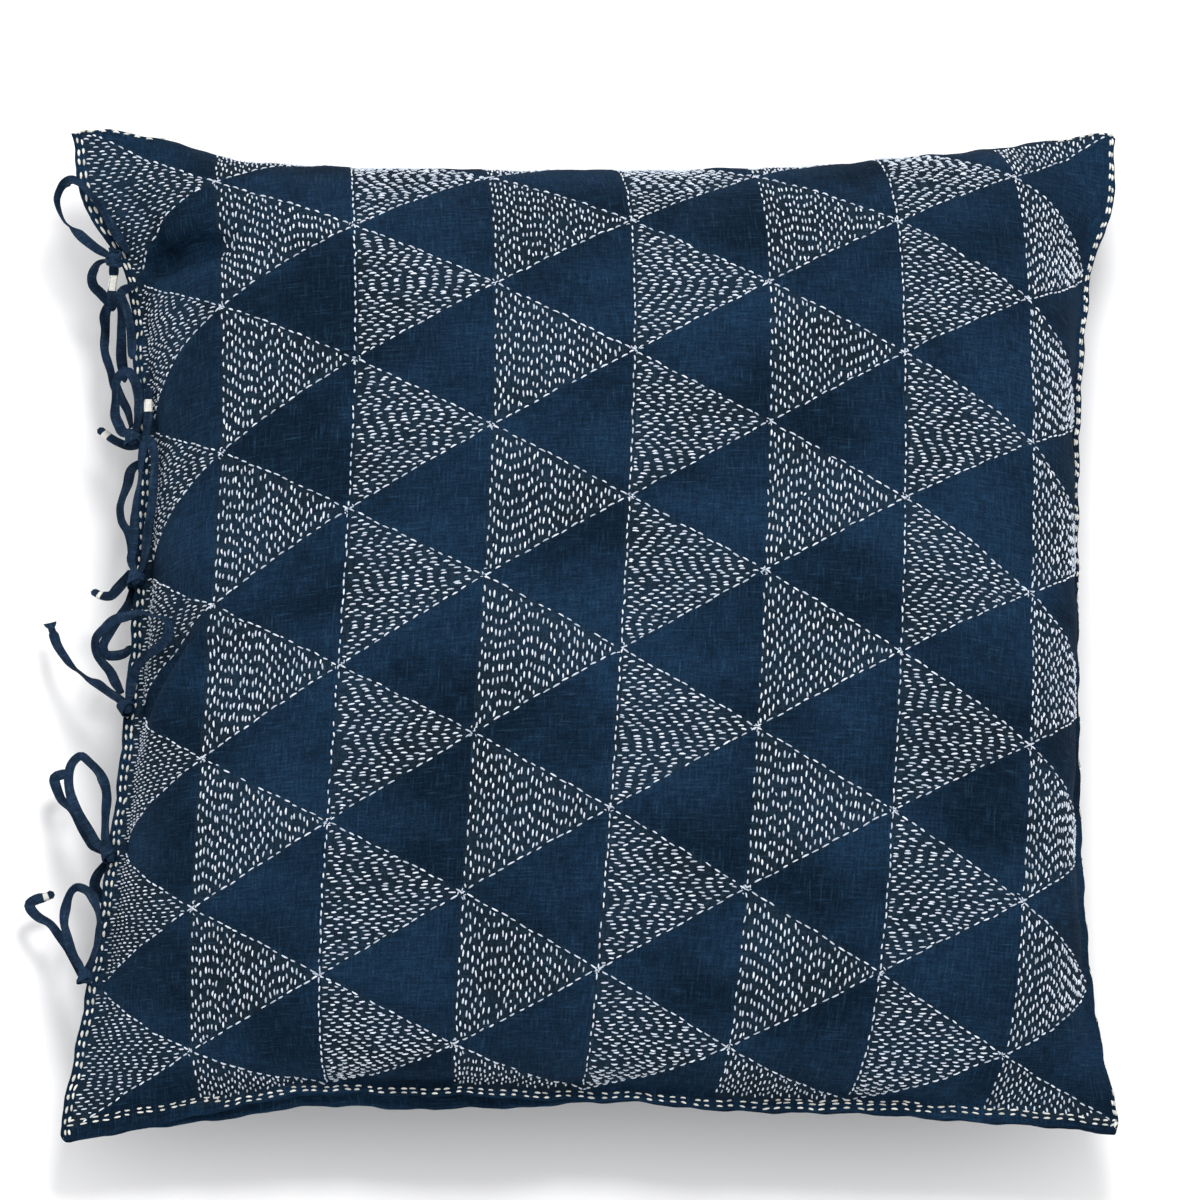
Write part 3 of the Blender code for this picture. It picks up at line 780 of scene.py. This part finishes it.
def across(value, low, high, run, other, other_height, aside, panel):
    """Distance from the middle line and turn-down of the hem, at places from -1 to 1."""
    far = value > 0
    hem, turn = [np.where(far, SIDES[high][key], SIDES[low][key]) for key in ("hem", "turn")]
    edge, bend = [np.where(far, read(high, other), read(low, other))
                  for read in (hem_distance, hem_bend)]
    sign = np.where(value < 0, -1.0, 1.0)
    body_share = np.minimum(np.abs(value) / BODY_EDGE, 1)
    hem_share = np.maximum(np.abs(value) - BODY_EDGE, 0) / HEM_SHARE
    run = body_share + (run - body_share) * other_height
    middle = sign * aside * other_height
    out = middle + (edge - hem - middle) * run + hem * hem_share
    rough = np.sin(61 * other + panel) + 0.6 * np.sin(137 * other + 2 * panel + value)
    out += (bend + HEM_ROUGH * rough) * np.abs(value) ** EDGE_POWER
    return sign * out, turn * hem_share * (1 - other ** TURN_POWER)


def fold_depth(x, y, folds):
    """How far some soft folds press the front in, in metres."""
    depth = np.zeros_like(x)
    for fold in folds:
        angle = math.radians(fold["angle"])
        dx, dy = x / MM - fold["x"], y / MM - fold["y"]
        along = dx * math.cos(angle) + dy * math.sin(angle)
        off = dy * math.cos(angle) - dx * math.sin(angle)
        depth += (fold["depth"] * MM * near(along, 0, fold["length"], 4)
                  * near(off, 0, fold["width"]))
    return depth


def cover_points(u, v, front):
    """Where places on the flat cover, -1 to 1 each way, sit on the filled cushion."""
    run_u, share_u = section(u, "left", "right")
    run_v, share_v = section(v, "bottom", "top")
    x, turn_x = across(u, "left", "right", run_u, v, share_v, CROWN_ASIDE + CROWN_LEAN * v, front)
    y, turn_y = across(v, "bottom", "top", run_v, u, share_u, 0, front)
    rise = np.select(
        [(u > 0) & (v > 0), u > 0, v > 0],
        [TIP_RISE["right", "top"], TIP_RISE["right", "bottom"], TIP_RISE["left", "top"]],
        TIP_RISE["left", "bottom"])
    edge = np.maximum(np.abs(u), np.abs(v)) ** EDGE_POWER
    wave = np.sin(HEM_WAVE_COUNT * math.pi * u + v) * np.sin(HEM_WAVE_COUNT * math.pi * v + u)
    seam = SEAM_HEIGHT + rise * np.abs(u * v) ** DROOP_POWER + HEM_WAVES * edge * wave
    seam = seam - turn_x - turn_y
    blunt = CORNER_BLUNT * np.abs(u * v) ** 60
    x, y = x - np.sign(u) * blunt, y - np.sign(v) * blunt
    crown = share_u * share_v
    if not front:
        z = np.maximum(seam - HEM_THICK / 2 - BACK_DEPTH * crown, 0)
        return np.stack([x, y, z], axis=-1)
    # The two layers of the bottom hem have come apart along a part of it
    apart = near(u, PARTING["middle"], PARTING["half"], 4) * np.where(v > 0, 0, v ** EDGE_POWER)
    lift = (CROWN_HEIGHT - SEAM_HEIGHT - HEM_THICK / 2) * crown
    z = seam + HEM_THICK / 2 + PARTING["lift"] * apart + lift
    return np.stack([x, y + PARTING["draw"] * apart, z], axis=-1)


def slide(u, v):
    """The small sideways give of the cloth on its filling, as a share of a half side."""
    along = 0.005 + 0.026 * v * (1 - u ** 2)
    down = sum(row["by"] * near(u, row["u"], row["wide"]) * near(v, row["v"], row["high"])
               for row in SLIDES)
    return u + along * (1 - u ** 8), v + down * (1 - v ** 8)


def grid_faces(count, flip):
    """Quads of a square grid of count lines each way."""
    index = np.arange(count * count).reshape(count, count)
    quads = np.stack([index[:-1, :-1], index[1:, :-1], index[1:, 1:], index[:-1, 1:]], axis=-1)
    quads = quads.reshape(-1, 4)
    return quads[:, ::-1] if flip else quads


def swell(start, flat, front, cap):
    """Fill a panel out as cloth from its form, and give its points back, moved by cap at most."""
    count = len(start)
    panel = mesh_object("panel", start.reshape(-1, 3), grid_faces(count, not front), None, False)
    panel.shape_key_add(name="Basis")
    cut = panel.shape_key_add(name="cut")
    cut.data.foreach_set("co", flat.reshape(-1).astype(np.float32))
    index = np.arange(count * count).reshape(count, count)
    inside = index[INNER:-INNER, INNER:-INNER].reshape(-1)
    held = panel.vertex_groups.new(name="held")
    held.add([int(k) for k in np.setdiff1d(index.reshape(-1), inside)], 1.0, "REPLACE")
    cloth = panel.modifiers.new("Cloth", "CLOTH")
    for key, value in CLOTH_SETTINGS.items():
        setattr(cloth.settings, key, value)
    cloth.settings.vertex_group_mass = "held"
    cloth.settings.rest_shape_key = cut
    cloth.settings.effector_weights.gravity = 0
    cloth.collision_settings.use_collision = False
    cloth.collision_settings.use_self_collision = False
    cloth.point_cache.frame_end = SIM_FRAMES
    scene = bpy.context.scene
    for step in range(1, SIM_FRAMES + 1):
        scene.frame_set(step)
    done = panel.evaluated_get(bpy.context.evaluated_depsgraph_get()).to_mesh()
    points = np.empty(len(done.vertices) * 3, np.float32)
    done.vertices.foreach_get("co", points)
    bpy.data.objects.remove(panel)
    scene.frame_set(1)
    moved = points.reshape(start.shape).astype(float) - start
    size = np.linalg.norm(moved, axis=-1, keepdims=True)
    return start + moved * (cap * np.tanh(size / cap) / np.maximum(size, 1e-9))


def perimeter(count):
    """Grid places round the edge, once round, as rows and columns."""
    last = count - 1
    south = [(i, 0) for i in range(last)]
    east = [(last, j) for j in range(last)]
    north = [(i, last) for i in range(last, 0, -1)]
    west = [(0, j) for j in range(last, 0, -1)]
    return np.array(south + east + north + west).T


def edge_rings(panel, rows, cols, side):
    """Three rings round a panel's edge, from its outside over the edge into the gap in the hem."""
    inner_rows, inner_cols = [np.clip(line, INNER, len(LINES) - 1 - INNER) for line in (rows, cols)]
    rim = panel[rows, cols]
    inward = panel[inner_rows, inner_cols] - rim
    inward[:, 2] = 0
    hem = np.linalg.norm(inward, axis=1, keepdims=True)
    inward /= hem
    groove = np.minimum(0.62 * hem, GAP_DEPTH)
    down = np.array([0, 0, -side * HEM_LAYER])
    return [rim - inward * 0.0006 + down * 0.45, rim + inward * 0.0002 + down,
            rim + inward * groove + down * 1.05]


def make_cover(cloth):
    """The filled cover as one closed skin: front, back and the two hem edges with a gap between."""
    count = len(LINES)
    u, v = np.meshgrid(LINES, LINES, indexing="ij")
    flat = np.stack([u * HALF * MM, v * HALF * MM, np.zeros_like(u)], axis=-1)
    front = cover_points(*slide(u, v), True)
    back = cover_points(u, v, False)
    front = swell(front, flat * CUT_EASE, True, FRONT_CAP)
    back = swell(back, flat * CUT_EASE, False, BACK_CAP)
    edge = np.maximum(np.abs(u), np.abs(v)) ** EDGE_POWER
    front[..., 2] -= fold_depth(front[..., 0], front[..., 1], FOLDS) * (1 - edge)
    back[..., 2] = np.maximum(back[..., 2], 0)

    # The front, the back and the rings that join them round the edge
    rows, cols = perimeter(count)
    around = np.arange(len(rows))
    following = (around + 1) % len(rows)

    def strip(a, b):
        return np.stack([a, b, b[following], a[following]], axis=1)

    rings = edge_rings(front, rows, cols, 1) + edge_rings(back, rows, cols, -1)[::-1]
    points = np.concatenate([front.reshape(-1, 3), back.reshape(-1, 3)] + rings)
    rim, panel = rows * count + cols, count * count
    order = [rim] + [2 * panel + k * len(rows) + around for k in range(len(rings))] + [panel + rim]
    faces = [grid_faces(count, False), grid_faces(count, True) + panel]
    faces += [strip(a, b) for a, b in zip(order, order[1:])]
    cover = mesh_object("cover_base", points, np.concatenate(faces), cloth)

    # The flat cloth as its UV map, with the back panel beside the front one
    flat_uv = np.stack([u.reshape(-1), v.reshape(-1)], axis=1) / 2 + 0.5
    outward = [(line == count - 1) * 1.0 - (line == 0) * 1.0 for line in (rows, cols)]
    steps = [flat_uv[rim] + np.stack(outward, axis=1) * mm / COVER for mm in HEM_FLAT]
    beside = np.array([BACK_UV, 0.0])
    quads = [flat_uv[grid_faces(count, False)], (flat_uv + beside)[grid_faces(count, True)]]
    for line in (steps, [step + beside for step in steps[-2::-1]]):
        quads += [strip(a, b) for a, b in zip(line, line[1:])]
    uv = cover.data.uv_layers.new(name="UVMap")
    uv.data.foreach_set("uv", np.concatenate(quads).reshape(-1).astype(np.float32))
    fine = cover.modifiers.new("Subdivision", "SUBSURF")
    fine.levels = fine.render_levels = 1
    return settled(cover, "cushion_cover", cloth)


def settled(thing, name, material):
    """A piece's finished shape as a plain mesh, with its modifiers gone."""
    deps = bpy.context.evaluated_depsgraph_get()
    mesh = bpy.data.meshes.new_from_object(thing.evaluated_get(deps))
    mesh.name = name
    bpy.data.objects.remove(thing)
    if not mesh.materials:
        mesh.materials.append(material)
    return new_object(name, mesh)


def triangle_depth(x, y):
    """How far inside a stitched triangle a place on the flat cover is, in millimetres."""
    column = np.clip(np.floor((x + PATTERN_HALF) / COLUMN), 0, COLUMNS - 1)
    share = (x + PATTERN_HALF) / COLUMN - column
    down = (PATTERN_HALF - y) / ROW - np.where(column % 2 == 1, 0.5, 0.0)
    off = np.abs(down - np.floor(down) - 0.5) * ROW
    return ((1 - share) * ROW / 2 - off) * math.cos(math.atan2(ROW / 2, COLUMN))


def finish_cover(cover):
    """Quilted relief, creases and the mark of the stitched areas, placed on the flat cloth."""
    mesh = cover.data
    count = len(mesh.vertices)

    def read(owner, key, size, kind=np.float32):
        values = np.empty(len(owner) * size, kind)
        owner.foreach_get(key, values)
        return values.reshape(-1, size)

    place = np.zeros((count, 2))
    corners = read(mesh.loops, "vertex_index", 1, np.int32)[:, 0]
    place[corners] = read(mesh.uv_layers["UVMap"].data, "uv", 2)
    x, y = ((place - 0.5) * COVER).T
    depth = triangle_depth(x, y)
    on_front = (np.abs(x) < PATTERN_HALF) & (np.abs(y) < PATTERN_HALF)
    # The stitched mark drives the cloth's puckers and its painted shade between the stitches
    stitched = np.where(on_front, np.clip(depth / 2.0 + 0.5, 0, 1), 0)
    mark_points(mesh, "stitched", stitched)
    points = read(mesh.vertices, "co", 3)
    normals = read(mesh.vertex_normals, "vector", 3)
    pressed = fold_depth(points[:, 0], points[:, 1], CREASES) * on_front
    puff = PUFF * (1 - np.exp(-np.clip(-depth, 0, None) / 7)) * on_front
    quilt = np.sin(x * 2.05 + 1.3 * np.sin(y / 6)) * np.sin(y * 1.9 + np.sin(x / 5))
    quilt *= QUILT * stitched
    waves = WAVES * np.sin(x / 9 + 2.2 * np.sin(y / 31)) * np.sin(y / 11 + 1.7 * np.sin(x / 27))
    middle = np.clip(1 - (np.maximum(np.abs(x), np.abs(y)) / 292) ** 20, 0, 1)
    points += normals * ((puff + quilt + waves - pressed) * middle)[:, None]
    points[:, 2] = np.maximum(points[:, 2], 0)
    mesh.vertices.foreach_set("co", points.reshape(-1))
    mesh.update()
    mesh.shade_smooth()


# Stitches

class Stitches:
    """Stitches as pairs of ends on the flat cover, in millimetres, with a tone and a thickness."""

    def __init__(self, radius):
        self.ends, self.tones, self.thick, self.radius = [], [], [], radius

    def add(self, a, b, tone, thick=1.0):
        self.ends += [a, b]
        self.tones += [tone, tone]
        self.thick += [thick, thick]


def run_line(made, rng, start, end, pitch, length, phase, wobble, slack, thick=1.0):
    """Running stitches along a line on the flat cover."""
    start, end = np.array(start, float), np.array(end, float)
    total = np.linalg.norm(end - start)
    if total < length * 0.6:
        return
    along = (end - start) / total
    aside = np.array([-along[1], along[0]])
    wave, turn = rng.uniform(0.03, 0.07), rng.uniform(0, 6.28)
    at = (phase % 1.0) * pitch - pitch
    while at < total:
        range_of = (0.72, 1.16) if rng.uniform(0, 1) > 0.06 else (0.35, 0.6)
        a, b = max(at, 0), min(at + length * rng.uniform(*range_of), total)
        if b - a > 0.45 * length:
            drift = wobble * math.sin(at * wave * 6.28 + turn)
            ends = [start + along * place + aside * (drift + rng.normal(0, slack * 0.5))
                    for place in (a, b)]
            made.add(*ends, rng.uniform(0, 1), rng.uniform(0.80, 1.14) * thick)
        at += pitch * rng.uniform(0.90, 1.10)


def inside_cover(value):
    """Keep a place on the flat cover within the pattern."""
    return max(EDGE_GAP - PATTERN_HALF, min(PATTERN_HALF - EDGE_GAP, value))


def triangles(column):
    """Base line and middle of each stitched triangle in a column, from the top down."""
    base = -PATTERN_HALF + COLUMN * column
    for k in range(-1, TRIANGLES):
        middle = PATTERN_HALF - ROW * (k + column % 2 / 2) - ROW / 2
        if abs(middle) < PATTERN_HALF - LEAST_INSIDE + ROW / 2:
            yield base, middle


def row_phases(rng, count):
    """Where each row's first stitch starts: neighbours drift in waves or alternate like bricks."""
    phases, phase, drift, left = [], rng.uniform(0, 1), 0.0, 0
    for _ in range(count):
        if left == 0:
            drift = rng.choice(DRIFTS)
            left = int(rng.integers(2, 6))
        phases.append(phase)
        phase += drift + rng.normal(0, 0.08)
        left -= 1
    return phases


def eased(value):
    """A value kept from 0 to 1."""
    return float(np.clip(value, 0, 1))


def rolled(y):
    """How far the right hem is rolled under at a height on the flat cover, 0 to 1."""
    return eased((y / HALF - ROLLED[0]) / 0.05) * eased((ROLLED[1] - y / HALF) / 0.10)


def tucked(x):
    """How far the top hem is turned out of view at a place along it, 0 to 1."""
    return eased((TUCKED - abs(x) / HALF) / 0.03)


def stepped(x):
    """How far the bottom border has stepped inwards at a place along it, 0 to 1."""
    return eased((STEPPED - x / HALF) / 0.03)


def upright_rows(base, middle):
    """Both ends of each row up and down in a triangle, or None where there is no room for it."""
    margin = FILL_MARGIN - (FILL_MARGIN - 1) * rolled(middle)
    rows = []
    for off in np.arange(0.8, COLUMN - 4.0, ROW_SPACING):
        x, reach = base + off, ROW / 2 * (1 - off / COLUMN) - 1.6
        low, high = inside_cover(middle - reach), inside_cover(middle + reach)
        room = high - low > SHORTEST_ROW and x < HALF - margin
        rows.append(((x, low), (x, high)) if room else None)
    return rows


def level_rows(base, middle, first, spacing):
    """Both ends of each row across a triangle, or None where there is no room for it."""
    lowest = EDGE_GAP - PATTERN_HALF + STEPPED_BY * stepped(base + 10)
    rows = []
    for off in np.arange(-ROW / 2 + 1.6, ROW / 2 - 1.2, spacing):
        last, y = base + COLUMN * (1 - abs(off) / (ROW / 2)) - 2.2, middle + off
        room = lowest < y < PATTERN_HALF - EDGE_GAP and last - first > SHORTEST_ROW
        rows.append(((first, y), (last, y)) if room else None)
    return rows


def fill_columns(columns, upright, rng):
    """Rows of running stitches that fill the triangles of some columns."""
    made = Stitches(THREAD_RADIUS)
    for column in columns:
        spacing, slack, thick = LEVEL_SPACING, SLACK, 1.0
        if column == 0:
            spacing, slack, thick = FIRST_SPACING, FIRST_SLACK, FIRST_THICK
        for base, middle in triangles(column):
            first = base + 1.4 if column else FIRST_MARGIN - HALF
            if upright:
                rows = upright_rows(base, middle)
            else:
                rows = level_rows(base, middle, first, spacing)
            for row, phase in zip(rows, row_phases(rng, len(rows))):
                if row:
                    run_line(made, rng, *row, STITCH_PITCH, STITCH_LENGTH, phase, 0.9 * slack,
                             slack, thick)
    return made


def outlines(rng):
    """Stitched outlines of the triangles, and the little crossings where they meet."""
    made = Stitches(OUTLINE_RADIUS)
    for column in range(COLUMNS):
        for base, middle in triangles(column):
            tip = np.array((base + COLUMN, middle))
            for sign in (1, -1):
                corner = np.array((base, middle + sign * ROW / 2))
                outside = max(abs(corner[1]) - (PATTERN_HALF - EDGE_GAP), 0)
                low = max(outside / (ROW / 2), 0 if column else FIRST_START / COLUMN)
                high = 1 - LAST_END / COLUMN if column == COLUMNS - 1 else 1.0
                run_line(made, rng, corner + (tip - corner) * low, corner + (tip - corner) * high,
                         OUTLINE_PITCH, OUTLINE_LENGTH, rng.uniform(0, 1), wobble=0.3,
                         slack=0.35)
                if column and low == 0:
                    cross(made, rng, corner)
            if column % 2 == 0 and column:
                run_line(made, rng, (base, inside_cover(middle - ROW / 2)),
                         (base, inside_cover(middle + ROW / 2)), BASE_PITCH, BASE_LENGTH,
                         rng.uniform(0, 1), wobble=0.3, slack=0.35)
    return made


def cross(made, rng, corner):
    """Short thin stitches that cross where triangles meet."""
    for angle in CROSS_ANGLES:
        lean = math.radians(angle + rng.uniform(-20, 20))
        reach = np.array((math.cos(lean), math.sin(lean))) * rng.uniform(0.6, 1.3)
        middle = corner + rng.normal(0, 1.3, 2)
        if abs(corner[1]) < PATTERN_HALF - LEAST_INSIDE:
            made.add(middle - reach, middle + reach, rng.uniform(0, 0.8), 0.6)


def border(beside, rng):
    """Rows of running stitches round the hem of one panel, side by side in step."""
    made = Stitches(BORDER_RADIUS)
    reach = HALF - BORDER_FROM_CORNER
    for side, (out, along, rows, thick) in BORDERS.items():
        out, along = np.array(out, float), np.array(along, float)
        places = np.arange(-reach, reach - BORDER_LENGTH, BORDER_PITCH)
        places = places + rng.uniform(-0.7, 0.7, len(places))
        for row in rows:
            for at in places:
                if row == THIRD_ROW and not THIRD_ROW_RUN[0] < at < THIRD_ROW_RUN[1]:
                    continue
                inset = row
                if side == "right":
                    inset -= ROLLED_BY * rolled(at)
                elif side == "top" and not beside.any():
                    inset -= ROLLED_BY * tucked(at)
                elif side == "bottom":
                    start, end, by = DRAWN_IN
                    inset += STEPPED_BY * stepped(at) + by * eased((at - start) / (end - start))
                shift = at + BORDER_LENGTH / 2 + rng.uniform(-0.8, 0.8)
                centre = out * (HALF - inset) + along * shift
                half = along * BORDER_LENGTH / 2 * rng.uniform(0.72, 1.15)
                half += out * rng.normal(0, 0.2)
                made.add(centre - half + beside, centre + half + beside, rng.uniform(0, 1),
                         rng.uniform(0.80, 1.12) * thick)
    return made


def stitch_tree():
    """A node tree that lays each flat stitch on the cover as a thread that dips in at its ends."""
    tree = bpy.data.node_groups.new("running_stitches", "GeometryNodeTree")
    face = tree.interface
    for name, kind in (("Flat stitches", "Geometry"), ("Cover", "Object"),
                       ("Thread radius", "Float"), ("Rise", "Float"), ("Dip", "Float"),
                       ("Segments", "Int"), ("Thread", "Material")):
        face.new_socket(name=name, in_out="INPUT", socket_type="NodeSocket" + kind)
    face.new_socket(name="Stitches", in_out="OUTPUT", socket_type="NodeSocketGeometry")
    given = tree.nodes.new("NodeGroupInput").outputs
    curves = add_node(tree, "GeometryNodeMeshToCurve", {0: given["Flat stitches"]})
    counted = add_node(tree, "GeometryNodeResampleCurve", {
        "Curve": curves, "Count": given["Segments"]})
    cover = add_node(tree, "GeometryNodeObjectInfo", {"Object": given["Cover"]})
    uv, thick = [add_node(tree, "GeometryNodeInputNamedAttribute", {"Name": name}, data_type=kind)
                 for name, kind in (("UVMap", "FLOAT_VECTOR"), ("thick", "FLOAT"))]
    here = add_node(tree, "GeometryNodeInputPosition")
    facing = add_node(tree, "GeometryNodeInputNormal")
    on_cover, off_cover = [add_node(tree, "GeometryNodeSampleUVSurface", {
        0: cover.outputs["Geometry"], 1: value, 2: uv, 3: here}, data_type="FLOAT_VECTOR")
        for value in (here, facing)]
    known = {name: given[name] for name in ("Rise", "Dip", "Thread radius")}
    known["share"] = add_node(tree, "GeometryNodeSplineParameter").outputs["Factor"]
    known["thick"] = thick
    for made, operation, *parts in (
            ("turned", "MULTIPLY", "share", math.pi),
            ("bow", "SINE", "turned"),
            ("held", "MAXIMUM", "bow", 0.0),
            ("arch", "POWER", "held", 0.55),
            ("both", "ADD", "Rise", "Dip"),
            ("climb", "MULTIPLY", "arch", "both"),
            ("height", "SUBTRACT", "climb", "Dip"),
            ("taper", "MULTIPLY_ADD", "held", 0.73, 0.35),
            ("girth", "MULTIPLY", "thick", "taper"),
            ("radius", "MULTIPLY", "girth", "Thread radius")):
        inputs = {k: known.get(part, part) for k, part in enumerate(parts)}
        known[made] = add_node(tree, "ShaderNodeMath", inputs, operation=operation)
    raised = add_node(tree, "ShaderNodeVectorMath", {0: off_cover, "Scale": known["height"]},
                      operation="SCALE")
    laid = add_node(tree, "GeometryNodeSetPosition", {
        "Geometry": counted, "Position": on_cover, "Offset": raised})
    profile = add_node(tree, "GeometryNodeCurvePrimitiveCircle", {"Resolution": 6, "Radius": 1.0})
    thread = add_node(tree, "GeometryNodeCurveToMesh", {
        "Curve": laid, "Profile Curve": profile, "Scale": known["radius"], "Fill Caps": True})
    smooth = add_node(tree, "GeometryNodeSetShadeSmooth", {"Geometry": thread})
    real = add_node(tree, "GeometryNodeRealizeInstances", {"Geometry": smooth})
    finished = add_node(tree, "GeometryNodeSetMaterial", {
        "Geometry": real, "Material": given["Thread"]})
    add_node(tree, "NodeGroupOutput", {0: finished})
    return tree


def sew(name, made, cover, tree, thread, rise, dip):
    """Lay a set of flat stitches on the cover and keep the result as a plain piece."""
    ends = np.array(made.ends) / COVER + 0.5
    mesh = bpy.data.meshes.new(name)
    pairs = [(k, k + 1) for k in range(0, len(ends), 2)]
    mesh.from_pydata([(x, y, 0.0) for x, y in ends], pairs, [])
    mark_points(mesh, "tone", made.tones)
    mark_points(mesh, "thick", made.thick)
    flat = new_object(name + "_flat", mesh)
    sewn = flat.modifiers.new("Stitches", "NODES")
    sewn.node_group = tree
    given = {"Cover": cover, "Thread radius": made.radius * MM, "Rise": rise * MM, "Dip": dip * MM,
             "Segments": 5, "Thread": thread}
    for socket in tree.interface.items_tree:
        if socket.in_out == "INPUT" and socket.name in given:
            sewn[socket.identifier] = given[socket.name]
    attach(settled(flat, name, thread), BODY)


set_camera()
set_light()
tape_cloth = cotton_cloth("indigo_cotton_tape", "#13202f", "#1e3046", "#42586c", uv_size=1,
                          weave_step=0.9, depth=0.00012)
white_thread = cotton_thread("undyed_cotton_thread", "#d8e0ec", "#a2adbb")
cream_thread = cotton_thread("cream_cotton_thread", "#e3e3dc", "#b5b6b0")
make_ties(tape_cloth, cream_thread)

cover_cloth = cotton_cloth("indigo_handwoven_cotton", "#0b1a29", "#14293e", "#2c4962",
                           uv_size=COVER, weave_step=1.0, depth=0.00030)
cover = make_cover(cover_cloth)
finish_cover(cover)
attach(cover, BODY)
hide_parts("cushion")

sewing = stitch_tree()
rng = np.random.default_rng(SEED)
for name, columns, upright in (("upright_left", (1, 3), True), ("upright_right", (5, 7), True),
                               ("level_left", (0, 2), False), ("level_right", (4, 6), False)):
    filled = fill_columns(columns, upright, rng)
    sew("stitches_" + name, filled, cover, sewing, white_thread, rise=0.30, dip=0.45)
sew("stitches_outline", outlines(rng), cover, sewing, white_thread, rise=0.38, dip=0.45)
for panel, beside in (("front", 0.0), ("back", BACK_UV * COVER)):
    edging = border(np.array([beside, 0.0]), rng)
    sew("stitches_border_" + panel, edging, cover, sewing, cream_thread, rise=0.40, dip=0.50)
